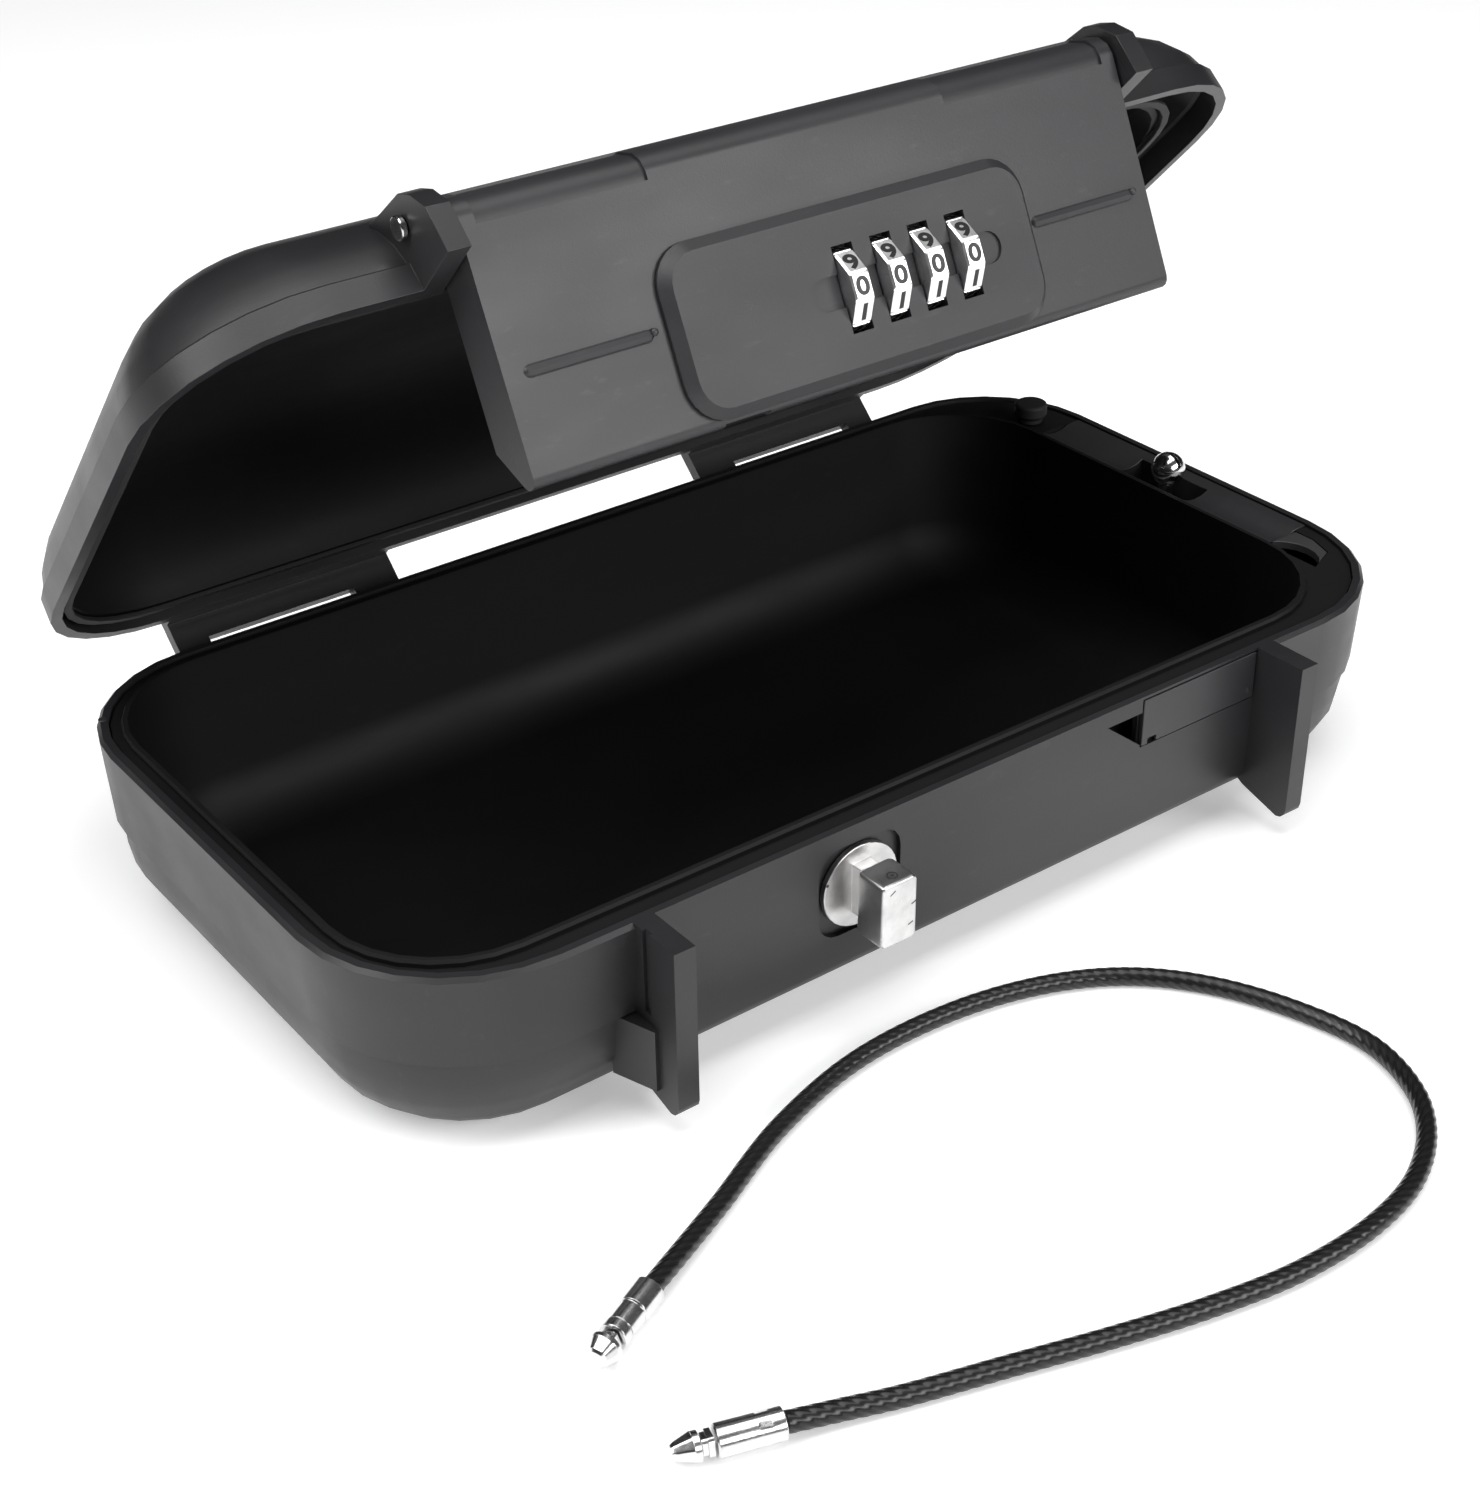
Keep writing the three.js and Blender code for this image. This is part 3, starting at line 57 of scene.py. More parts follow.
backwards = Vector((
    math.sin(CAMERA_AZIMUTH) * math.cos(CAMERA_RISE),
    -math.cos(CAMERA_AZIMUTH) * math.cos(CAMERA_RISE),
    math.sin(CAMERA_RISE),
))
level = Vector((0, 0, 1)).cross(backwards).normalized()
upright = backwards.cross(level)
right = math.cos(CAMERA_ROLL) * level + math.sin(CAMERA_ROLL) * upright
up = math.cos(CAMERA_ROLL) * upright - math.sin(CAMERA_ROLL) * level
camera_data = bpy.data.cameras.new("camera")
camera_data.lens = LENS
camera_data.sensor_width = 36
camera_data.clip_start = 0.01
camera = bpy.data.objects.new("camera", camera_data)
camera.matrix_world = Matrix.Translation(CAMERA_PLACE) @ Matrix((right, up, backwards)).transposed().to_4x4()
bpy.context.collection.objects.link(camera)
bpy.context.scene.camera = camera


# Cable
# A steel wire rope in a black plastic jacket, lying loose on the floor in front of the safe.
# Its seven strands stand out through the jacket as a fine helix. Each end is crimped into a steel sleeve.
CABLE_RADIUS = 1.9 * MM
CABLE_ROUTE = [
    (-109.7, -111.7, 3.3), (-98.5, -106.4, 2.6), (-87.4, -101.1, 2), (-66.4, -91.2, 1.95),
    (-42.6, -84.9, 1.95), (-17.2, -85.2, 1.95), (2.7, -90.5, 1.95), (16.2, -98.5, 1.95),
    (26.1, -109.9, 1.95), (33.2, -125, 1.95), (36.4, -141.5, 1.95), (32.3, -155.1, 1.95),
    (24.8, -164.1, 1.95), (13, -171.1, 1.95), (-1.6, -174.3, 1.95), (-19.7, -174.2, 1.95),
    (-37.6, -170.9, 1.95), (-55, -166.1, 1.95), (-73.5, -160.2, 1.95), (-91.4, -154.6, 2),
    (-100.6, -151.5, 2.5), (-109.8, -148.5, 3.1),
]
CABLE_STEPS = 52
CABLE_STRANDS = 7
STRAND_LAY = 17 * MM
STRAND_RELIEF = 0.09 * MM


def smooth_route(points, steps):
    """Points along the centripetal curve through the given points."""
    points = [Vector(p) for p in points]
    points = [2 * points[0] - points[1], *points, 2 * points[-1] - points[-2]]
    route = []
    for a, b, c, d in zip(points, points[1:], points[2:], points[3:]):
        knots = [0]
        for near, far in ((a, b), (b, c), (c, d)):
            knots.append(knots[-1] + math.sqrt((far - near).length))
        t0, t1, t2, t3 = knots
        for step in range(steps):
            t = t1 + (t2 - t1) * step / steps
            ab = a.lerp(b, (t - t0) / (t1 - t0))
            bc = b.lerp(c, (t - t1) / (t2 - t1))
            cd = c.lerp(d, (t - t2) / (t3 - t2))
            abc = ab.lerp(bc, (t - t0) / (t2 - t0))
            bcd = bc.lerp(cd, (t - t1) / (t3 - t1))
            route.append(abc.lerp(bcd, (t - t1) / (t2 - t1)))
    return [*route, points[-2].copy()]


def link_mesh(name, shape):
    """A new object at the origin that holds the faces of a bmesh."""
    mesh = bpy.data.meshes.new(name)
    shape.to_mesh(mesh)
    shape.free()
    made = bpy.data.objects.new(name, mesh)
    bpy.context.collection.objects.link(made)
    return made


def cable_tube(name, route, radius, sides):
    """A round tube along the route, its surface raised in helical strands, with a UV map along it."""
    shape = bmesh.new()
    uv = shape.loops.layers.uv.new("along")
    rings, runs, run = [], [], 0
    for i, point in enumerate(route):
        run += (point - route[i - 1]).length if i else 0
        ahead = route[min(i + 1, len(route) - 1)] - route[max(i - 1, 0)]
        side = ahead.cross(Vector((0, 0, 1))).normalized()
        over = side.cross(ahead).normalized()
        ring = []
        for k in range(sides):
            turn = math.tau * k / sides
            strand = math.cos(CABLE_STRANDS * (turn + math.tau * run / STRAND_LAY))
            reach = radius - STRAND_RELIEF * (0.5 - 0.5 * strand)
            ring.append(shape.verts.new(point + reach * (math.cos(turn) * side + math.sin(turn) * over)))
        rings.append(ring)
        runs.append(run)
    for i in range(len(rings) - 1):
        for k in range(sides):
            n = (k + 1) % sides
            face = shape.faces.new((rings[i][k], rings[i][n], rings[i + 1][n], rings[i + 1][k]))
            face.smooth = True
            corners = ((k, i), (k + 1, i), (k + 1, i + 1), (k, i + 1))
            for loop, (across, along) in zip(face.loops, corners):
                loop[uv].uv = (across / sides, runs[along])
    shape.faces.new(reversed(rings[0]))
    shape.faces.new(rings[-1])
    bmesh.ops.recalc_face_normals(shape, faces=shape.faces)
    return link_mesh(name, shape)


cable_route = smooth_route([Vector(p) * MM for p in CABLE_ROUTE], CABLE_STEPS)
cable = cable_tube("cable_rope", cable_route, CABLE_RADIUS, 6 * CABLE_STRANDS)


def new_material(name):
    """A material with its shader, ready for a finish."""
    made = bpy.data.materials.new(name)
    made.use_nodes = True
    return made, made.node_tree.nodes, made.node_tree.links, made.node_tree.nodes["Principled BSDF"]


def range_node(new, low, high, start=0, stop=1):
    """A node that turns values from start to stop into values from low to high."""
    made = new("ShaderNodeMapRange")
    made.inputs["From Min"].default_value = start
    made.inputs["From Max"].default_value = stop
    made.inputs["To Min"].default_value = low
    made.inputs["To Max"].default_value = high
    return made


# The wave texture has one band for each unit at this scale.
ONE_BAND = math.pi / 5
material, shade, wire, surface = new_material("cable_jacket")
surface.inputs["Specular IOR Level"].default_value = 0.3
surface.inputs["Coat Weight"].default_value = 0.2
surface.inputs["Coat Roughness"].default_value = 0.1
uv_map = shade.new("ShaderNodeUVMap")
uv_map.uv_map = "along"
stretch = shade.new("ShaderNodeMapping")
stretch.inputs["Scale"].default_value = (CABLE_STRANDS, CABLE_STRANDS / STRAND_LAY, 1)
lay_lines = shade.new("ShaderNodeTexWave")
lay_lines.bands_direction = "DIAGONAL"
lay_lines.inputs["Scale"].default_value = ONE_BAND
lay_lines.inputs["Distortion"].default_value = 0.25
tint = shade.new("ShaderNodeValToRGB")
tint.color_ramp.elements[0].color = (0.002, 0.002, 0.0022, 1)
tint.color_ramp.elements[1].color = (0.011, 0.011, 0.012, 1)
gloss = range_node(shade.new, 0.45, 0.26)
wire.new(uv_map.outputs["UV"], stretch.inputs["Vector"])
wire.new(stretch.outputs["Vector"], lay_lines.inputs["Vector"])
wire.new(lay_lines.outputs["Fac"], tint.inputs["Fac"])
wire.new(tint.outputs["Color"], surface.inputs["Base Color"])
wire.new(lay_lines.outputs["Fac"], gloss.inputs["Value"])
wire.new(gloss.outputs["Result"], surface.inputs["Roughness"])
cable.data.materials.append(material)


# Steel
# Every steel part is turned, ground or stamped, and left bare.
# One group of nodes gives them all their fine tool marks and small stains.
def skin_group(name, inputs):
    """A group of shader nodes with its inputs, and with colour, roughness and height as outputs."""
    group = bpy.data.node_groups.new(name, "ShaderNodeTree")
    sockets = group.interface
    for label, kind, value in inputs:
        sockets.new_socket(label, in_out="INPUT", socket_type=kind).default_value = value
    sockets.new_socket("Colour", in_out="OUTPUT", socket_type="NodeSocketColor")
    sockets.new_socket("Roughness", in_out="OUTPUT", socket_type="NodeSocketFloat")
    sockets.new_socket("Height", in_out="OUTPUT", socket_type="NodeSocketFloat")
    return group


def tooled_steel():
    """Fine lines from the tool in the roughness and height, and small stains in the colour."""
    group = skin_group("tooled_steel", (
        ("Colour", "NodeSocketColor", (0.6, 0.6, 0.6, 1)),
        ("Roughness", "NodeSocketFloat", 0.25),
        ("Marks Scale", "NodeSocketVector", (300, 3000, 3000)),
    ))
    node = group.nodes.new
    link = group.links.new
    given, result, place = node("NodeGroupInput"), node("NodeGroupOutput"), node("ShaderNodeTexCoord")
    spread = node("ShaderNodeVectorMath")
    spread.operation = "MULTIPLY"
    link(place.outputs["Object"], spread.inputs[0])
    link(given.outputs["Marks Scale"], spread.inputs[1])
    lines, stains = node("ShaderNodeTexNoise"), node("ShaderNodeTexNoise")
    lines.inputs["Scale"].default_value = 1
    lines.inputs["Detail"].default_value = 4
    link(spread.outputs["Vector"], lines.inputs["Vector"])
    stains.inputs["Scale"].default_value = 260
    stains.inputs["Detail"].default_value = 6
    link(place.outputs["Object"], stains.inputs["Vector"])
    dull = range_node(node, 1.08, 0.8, 0.35, 0.75)
    link(stains.outputs["Fac"], dull.inputs["Value"])
    tone = node("ShaderNodeHueSaturation")
    link(dull.outputs["Result"], tone.inputs["Value"])
    link(given.outputs["Colour"], tone.inputs["Color"])
    link(tone.outputs["Color"], result.inputs["Colour"])
    spread_gloss = range_node(node, -0.08, 0.1)
    link(lines.outputs["Fac"], spread_gloss.inputs["Value"])
    matt = node("ShaderNodeMath")
    link(given.outputs["Roughness"], matt.inputs[0])
    link(spread_gloss.outputs["Result"], matt.inputs[1])
    link(matt.outputs[0], result.inputs["Roughness"])
    link(lines.outputs["Fac"], result.inputs["Height"])
    return group


steel_group = tooled_steel()


def wire_skin(skin, depth, shade, wire, surface):
    """Feeds a skin's colour, roughness and height, with its depth in mm, into a shader."""
    bump = shade.new("ShaderNodeBump")
    bump.inputs["Distance"].default_value = depth * MM
    wire.new(skin.outputs["Colour"], surface.inputs["Base Color"])
    wire.new(skin.outputs["Roughness"], surface.inputs["Roughness"])
    wire.new(skin.outputs["Height"], bump.inputs["Height"])
    wire.new(bump.outputs["Normal"], surface.inputs["Normal"])


def steel(name, colour, roughness, marks=(300, 3000, 3000), depth=0.006):
    """A bare steel; the tool marks have a scale for each axis and a depth in mm."""
    material, shade, wire, surface = new_material(name)
    surface.inputs["Metallic"].default_value = 1
    skin = shade.new("ShaderNodeGroup")
    skin.node_tree = steel_group
    skin.inputs["Colour"].default_value = (*colour, 1)
    skin.inputs["Roughness"].default_value = roughness
    skin.inputs["Marks Scale"].default_value = marks
    wire_skin(skin, depth, shade, wire, surface)
    return material


# Cable end fittings
# Each end has a crimped steel sleeve and a hard steel head, turned on a lathe and then ground to flats.
# Both ends lie loose in the photo, with neither head held by the safe.
FITTING_SIDES = 72
FITTING_EDGE = 0.06
FITTING_SMOOTH = math.radians(14)
FITTING_SHARP = math.radians(24)


def turned_piece(name, node, rings, end, direction, flat_turn=0):
    """A turned piece that replaces a node, made of rings along an axis.

    A ring is its place, its radius, the number of ground flats and their distance from the axis, in mm.
    """
    shape = bmesh.new()
    side = direction.cross(Vector((0, 0, 1))).normalized()
    over = side.cross(direction)
    made = []
    for along, radius, flats, flat in rings:
        ring = []
        for k in range(FITTING_SIDES):
            turn = math.tau * k / FITTING_SIDES
            reach = radius
            if flats:
                facet = math.tau / flats
                off_flat = (turn + flat_turn + facet / 2) % facet - facet / 2
                reach = min(radius, flat / math.cos(off_flat))
            spot = math.cos(turn) * side + math.sin(turn) * over
            ring.append(shape.verts.new(end + (along * direction + reach * spot) * MM))
        made.append(ring)
    for near, far in zip(made, made[1:]):
        for k in range(FITTING_SIDES):
            n = (k + 1) % FITTING_SIDES
            shape.faces.new((near[k], near[n], far[n], far[k]))
    shape.faces.new(reversed(made[0]))
    shape.faces.new(made[-1])
    bmesh.ops.recalc_face_normals(shape, faces=shape.faces)
    for face in shape.faces:
        face.smooth = True
    for edge in shape.edges:
        edge.smooth = edge.calc_face_angle(0) < FITTING_SMOOTH
    piece = link_mesh(name, shape)
    soft = piece.modifiers.new("soft", "BEVEL")
    soft.width = FITTING_EDGE * MM
    soft.segments = 2
    soft.limit_method = "ANGLE"
    soft.angle_limit = FITTING_SHARP
    soft.harden_normals = True
    piece.data.materials.append(fitting_steel)
    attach(piece, "base")
    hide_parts(node)
    return piece


def plain_ring(along, radius):
    """A round ring, with no flats."""
    return (along, radius, 0, 0)


fitting_steel = steel("fitting_steel", (0.7, 0.7, 0.7), 0.2, (1500, 1500, 6000), 0.002)
# The fittings lie level, in line with the last two spans of the cable's route.
SPANS = 2 * CABLE_STEPS
end_a = cable_route[0].copy()
along_a = ((cable_route[0] - cable_route[SPANS]) * Vector((1, 1, 0))).normalized()
end_b = cable_route[-1].copy()
along_b = ((cable_route[-1] - cable_route[-1 - SPANS]) * Vector((1, 1, 0))).normalized()
sleeve_a = turned_piece("sleeve_a", "cable_ferrule_a", [
    plain_ring(0.3, 2.6), plain_ring(0.45, 2.9), plain_ring(5.9, 2.9), plain_ring(6.1, 2.6),
    plain_ring(10.3, 2.6), plain_ring(10.35, 2.3), plain_ring(10.6, 2.3), plain_ring(10.65, 2.75),
    plain_ring(12.4, 2.75), plain_ring(12.6, 2.5),
], end_a, along_a)
head_a = turned_piece("snap_head_a", "cable_head_a", [
    (12.9, 2, 4, 1.65), (14.5, 2, 4, 1.65), plain_ring(14.52, 2.9), plain_ring(14.8, 3.15),
    plain_ring(15.6, 3.15), (15.65, 3.1, 6, 3.0), (17.7, 2.2, 6, 2.0), (18.05, 1.6, 6, 1.5),
    plain_ring(18.15, 1.2),
], end_a, along_a, 0.35)
sleeve_b = turned_piece("sleeve_b", "cable_ferrule_b", [
    plain_ring(0.3, 2.7), plain_ring(0.45, 2.85), plain_ring(2.4, 2.85),
    (2.6, 2.85, 6, 2.74), (4.6, 2.85, 6, 2.74), plain_ring(4.8, 2.85),
    plain_ring(11.5, 2.9), plain_ring(11.8, 2.6),
], end_b, along_b)
head_b = turned_piece("snap_head_b", "cable_head_b", [
    (12.1, 2.3, 4, 1.9), (13.1, 2.3, 4, 1.9), (13.15, 1.9, 4, 1.6), (14.1, 1.9, 4, 1.6),
    plain_ring(14.15, 2.35), plain_ring(14.4, 2.6), plain_ring(15.4, 2.6),
    (15.45, 2.6, 8, 2.5), (18.3, 1.6, 8, 1.5), (18.85, 1.2, 8, 1.15),
], end_b, along_b, 0.2)

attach(cable, "base")
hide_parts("cable")


# Studio
# A pale, faintly lit table under a wide soft light, with long lights at the left and in front.
# The sky gives only a little light, most of it from above, and is plain white to the camera.
FLOOR_REACH = 4
floor_shape = bmesh.new()
bmesh.ops.create_grid(floor_shape, x_segments=1, y_segments=1, size=FLOOR_REACH)
floor = link_mesh("floor", floor_shape)
material, shade, wire, surface = new_material("floor_paper")
surface.inputs["Base Color"].default_value = (0.93, 0.93, 0.935, 1)
surface.inputs["Roughness"].default_value = 0.9
surface.inputs["Emission Color"].default_value = (1, 1, 1, 1)
surface.inputs["Emission Strength"].default_value = 0.25
floor.data.materials.append(material)

world = bpy.data.worlds.new("studio")
world.use_nodes = True
sky, sky_wire = world.node_tree.nodes, world.node_tree.links
bearing, parts = sky.new("ShaderNodeTexCoord"), sky.new("ShaderNodeSeparateXYZ")
glow = range_node(sky.new, 0.013, 0.092, 0.25, 0.85)
glow.interpolation_type = "SMOOTHSTEP"
sky_wire.new(bearing.outputs["Generated"], parts.inputs["Vector"])
sky_wire.new(parts.outputs["Z"], glow.inputs["Value"])
seen, backdrop = sky.new("ShaderNodeLightPath"), sky.new("ShaderNodeMath")
backdrop.operation = "MAXIMUM"
sky_wire.new(seen.outputs["Is Camera Ray"], backdrop.inputs[0])
sky_wire.new(glow.outputs["Result"], backdrop.inputs[1])
sky["Background"].inputs["Color"].default_value = (1, 1, 1, 1)
sky_wire.new(backdrop.outputs[0], sky["Background"].inputs["Strength"])
bpy.context.scene.world = world
bpy.context.scene.view_settings.view_transform = "Standard"


def soft_light(name, place, aim, size, power):
    """An oblong area light at a place, turned to face a point."""
    data = bpy.data.lights.new(name, "AREA")
    data.shape = "RECTANGLE"
    data.size, data.size_y = size
    data.energy = power
    lamp = bpy.data.objects.new(name, data)
    lamp.location = place
    lamp.rotation_euler = (Vector(aim) - Vector(place)).to_track_quat("-Z", "Y").to_euler()
    bpy.context.collection.objects.link(lamp)


soft_light("overhead", (0, -0.1, 1.4), (0, 0, 0), (1.4, 1.0), 14)
soft_light("left", (-0.95, 0.15, 0.95), (0, 0, 0.08), (0.5, 1.0), 10)
soft_light("front", (0.35, -1.25, 0.7), (0, 0, 0.1), (1.4, 0.5), 16)


# Moulded plastic
# The black mouldings have a fine spark grain, faint flow marks and light rubbing.
# One group of nodes makes that skin, and each moulding gives it its own colour, gloss and amount of wear.
def moulded_skin():
    """Grain in the height, flow marks in the colour and gloss, and rubbed scratches in all three."""
    group = skin_group("moulded_skin", (
        ("Colour", "NodeSocketColor", (0.02, 0.02, 0.02, 1)),
        ("Rubbed Colour", "NodeSocketColor", (0.06, 0.06, 0.06, 1)),
        ("Roughness", "NodeSocketFloat", 0.45),
        ("Rubbing", "NodeSocketFloat", 0.5),
        ("Grain Scale", "NodeSocketFloat", 2400),
    ))
    node = group.nodes.new
    link = group.links.new
    given, result, place = node("NodeGroupInput"), node("NodeGroupOutput"), node("ShaderNodeTexCoord")
    grain, flow, scuff = [node("ShaderNodeTexNoise") for _ in range(3)]
    link(place.outputs["Object"], grain.inputs["Vector"])
    link(given.outputs["Grain Scale"], grain.inputs["Scale"])
    grain.inputs["Detail"].default_value = 2
    flow_place = node("ShaderNodeMapping")
    flow_place.inputs["Scale"].default_value = (1, 2.2, 3.5)
    link(place.outputs["Object"], flow_place.inputs["Vector"])
    link(flow_place.outputs["Vector"], flow.inputs["Vector"])
    flow.inputs["Scale"].default_value = 22
    flow.inputs["Detail"].default_value = 5
    scuff_place = node("ShaderNodeMapping")
    scuff_place.inputs["Rotation"].default_value = (0.3, 0.5, 0.7)
    scuff_place.inputs["Scale"].default_value = (1, 7, 2)
    link(place.outputs["Object"], scuff_place.inputs["Vector"])
    link(scuff_place.outputs["Vector"], scuff.inputs["Vector"])
    scuff.inputs["Scale"].default_value = 160
    scuff.inputs["Detail"].default_value = 8
    scuff.inputs["Roughness"].default_value = 0.65
    marks = range_node(node, 0, 1, 0.6, 0.78)
    link(scuff.outputs["Fac"], marks.inputs["Value"])
    rubbed = node("ShaderNodeMath")
    rubbed.operation = "MULTIPLY"
    link(marks.outputs["Result"], rubbed.inputs[0])
    link(given.outputs["Rubbing"], rubbed.inputs[1])
    blend = node("ShaderNodeMix")
    blend.data_type = "RGBA"
    link(rubbed.outputs[0], blend.inputs["Factor"])
    link(given.outputs["Colour"], blend.inputs["A"])
    link(given.outputs["Rubbed Colour"], blend.inputs["B"])
    tone = node("ShaderNodeHueSaturation")
    shift = range_node(node, 0.82, 1.18)
    link(flow.outputs["Fac"], shift.inputs["Value"])
    link(shift.outputs["Result"], tone.inputs["Value"])
    link(blend.outputs["Result"], tone.inputs["Color"])
    link(tone.outputs["Color"], result.inputs["Colour"])
    sheen = range_node(node, -0.05, 0.05, 0.3, 0.7)
    link(flow.outputs["Fac"], sheen.inputs["Value"])
    matt = node("ShaderNodeMath")
    link(given.outputs["Roughness"], matt.inputs[0])
    link(sheen.outputs["Result"], matt.inputs[1])
    polish = node("ShaderNodeMath")
    polish.operation = "MULTIPLY_ADD"
    polish.inputs[1].default_value = -0.12
    link(rubbed.outputs[0], polish.inputs[0])
    link(matt.outputs[0], polish.inputs[2])
    link(polish.outputs[0], result.inputs["Roughness"])
    relief = node("ShaderNodeMath")
    relief.operation = "MULTIPLY_ADD"
    relief.inputs[1].default_value = -0.5
    link(rubbed.outputs[0], relief.inputs[0])
    link(grain.outputs["Fac"], relief.inputs[2])
    link(relief.outputs[0], result.inputs["Height"])
    return group


plastic_group = moulded_skin()


def moulding(name, colour, roughness, rubbing, grain_depth=0.02, grain_scale=2400, shine=0.5):
    """A moulded black plastic or rubber; the grain's depth is in mm."""
    material, shade, wire, surface = new_material(name)
    surface.inputs["Specular IOR Level"].default_value = shine
    skin = shade.new("ShaderNodeGroup")
    skin.node_tree = plastic_group
    skin.inputs["Colour"].default_value = (*colour, 1)
    skin.inputs["Rubbed Colour"].default_value = (*[min(1, 2.2 * c + 0.012) for c in colour], 1)
    skin.inputs["Roughness"].default_value = roughness
    skin.inputs["Rubbing"].default_value = rubbing
    skin.inputs["Grain Scale"].default_value = grain_scale
    wire_skin(skin, grain_depth, shade, wire, surface)
    return material


# Corners this near are merged, and faces that meet as flat as this become one.
# Edges gentler than the third value are shaded smooth, and edges sharper than the last are rounded.
MERGE_GAP = 0.004 * MM
FLAT_ANGLE = math.radians(0.4)
SMOOTH_ANGLE = math.radians(32)
ROUNDED_ANGLE = math.radians(34)


def smooth_edges_group():
    """Merges a node's loose triangles and shades them smooth across gentle angles."""
    group = bpy.data.node_groups.new("moulded_shading", "GeometryNodeTree")
    group.interface.new_socket("Geometry", in_out="INPUT", socket_type="NodeSocketGeometry")
    group.interface.new_socket("Geometry", in_out="OUTPUT", socket_type="NodeSocketGeometry")
    node = group.nodes.new
    link = group.links.new
    given, result = node("NodeGroupInput"), node("NodeGroupOutput")
    merge = node("GeometryNodeMergeByDistance")
    merge.inputs["Distance"].default_value = MERGE_GAP
    angle = node("GeometryNodeInputMeshEdgeAngle")
    gentle = node("FunctionNodeCompare")
    gentle.data_type = "FLOAT"
    gentle.operation = "LESS_THAN"
    gentle.inputs["B"].default_value = SMOOTH_ANGLE
    faces = node("GeometryNodeSetShadeSmooth")
    edges = node("GeometryNodeSetShadeSmooth")
    edges.domain = "EDGE"
    link(given.outputs[0], merge.inputs["Geometry"])
    link(merge.outputs["Geometry"], faces.inputs["Geometry"])
    link(faces.outputs["Geometry"], edges.inputs["Geometry"])
    link(angle.outputs["Unsigned Angle"], gentle.inputs["A"])
    link(gentle.outputs["Result"], edges.inputs["Shade Smooth"])
    link(edges.outputs["Geometry"], result.inputs[0])
    return group


edge_group = smooth_edges_group()


def dress(node, material, edge):
    """Gives a CAD node its material, smooth shading and softened edges of a radius in mm."""
    made = nodes[node]
    made.data.materials.clear()
    made.data.materials.append(material)
    shading = made.modifiers.new("shading", "NODES")
    shading.node_group = edge_group
    flat = made.modifiers.new("flat", "DECIMATE")
    flat.decimate_type = "DISSOLVE"
    flat.angle_limit = FLAT_ANGLE
    soft = made.modifiers.new("soft", "BEVEL")
    soft.width = edge * MM
    soft.segments = 2
    soft.limit_method = "ANGLE"
    soft.angle_limit = ROUNDED_ANGLE
    soft.use_clamp_overlap = True
    soft.miter_outer = "MITER_ARC"
    weighted = made.modifiers.new("even", "WEIGHTED_NORMAL")
    weighted.mode = "FACE_AREA"
    weighted.weight = 100
    weighted.keep_sharp = True


# Base bowl
# The outer half of the base is one black moulding: bowl, band, front panel, bumpers and hinge lugs.
# It stands on the floor, and the tray sits in it.
bowl_plastic = moulding("bowl_plastic", (0.014, 0.014, 0.0155), 0.42, 0.35)
dress("base_shell", bowl_plastic, 0.4)

# Base tray
# The inner half of the base is a deep tray with a raised lip, moulded in a duller black that is darkened
# further as painted shade.
# The same plastic serves for the lid's liner and the back plate of the flap.
# Painted shade: this black is darker than the plastic's own colour. It stands for the shade inside the tray,
# inside the lid and behind the flap.
inner_plastic_painted_shade = moulding("inner_plastic_painted_shade", (0.003, 0.003, 0.0034), 0.62, 0.2, shine=0.26)
dress("base_inner", inner_plastic_painted_shade, 0.25)

# Standing pads
# Four soft round pads of rubber, glued flush into shallow seats in the underside.
# The photo doesn't show the underside, so they are a guess.
PAD_COUNT = 4
pad_rubber = moulding("pad_rubber", (0.01, 0.01, 0.01), 0.75, 0.3, 0.05, 1500)
for n in range(PAD_COUNT):
    dress(f"standing_pad_{n + 1}", pad_rubber, 0.12)

# Cable bay
# A dished plate in the wide right rim, a plate over the corner and a rubber peg that the lid bears on.
# Both plates are moulded, and so is the cover over the cable's outlet at the front.
bay_plastic = moulding("bay_plastic", (0.022, 0.022, 0.024), 0.42, 0.4)
dress("cable_bay_plate", bay_plastic, 0.25)
dress("corner_plate", moulding("corner_plastic", (0.035, 0.035, 0.037), 0.45, 0.4), 0.15)
dress("rubber_peg", moulding("peg_rubber", (0.006, 0.006, 0.006), 0.75, 0.1), 0.2)
dress("outlet_cover", moulding("cover_plastic", (0.02, 0.02, 0.022), 0.4, 0.35), 0.15)

# Locking stud and its nut
# A steel disc and a hammer-headed bar in one piece, ground bright.
# A nut holds it from inside, behind the front panel.
stud_steel = steel("stud_steel", (0.62, 0.615, 0.61), 0.3, (3000, 400, 3000))
plain_steel = steel("plain_steel", (0.45, 0.45, 0.46), 0.38)
dress("lock_stud", stud_steel, 0.15)
dress("stud_nut", plain_steel, 0.2)

# Stud marks
# Small engraved marks filled with black: a dot on the disc, rings on top of the bar and ticks on its tip.
# They are thin closed shapes that lie half in the steel. Their measures are in mm.
MARK_SKIN = 0.015
RING_SIDES = 32


def mark_prism(shape, outline, deep):
    """A thin closed prism from a flat outline, thickened by a vector."""
    near = [shape.verts.new(Vector(point) * MM) for point in outline]
    far = [shape.verts.new((Vector(point) + Vector(deep)) * MM) for point in outline]
    count = len(outline)
    shape.faces.new(near)
    shape.faces.new(reversed(far))
    for k in range(count):
        n = (k + 1) % count
        shape.faces.new((near[n], near[k], far[k], far[n]))


def circle(radius, sides):
    """Points round a circle, each as its two distances from the centre."""
    turns = [math.tau * k / sides for k in range(sides)]
    return [(radius * math.cos(turn), radius * math.sin(turn)) for turn in turns]


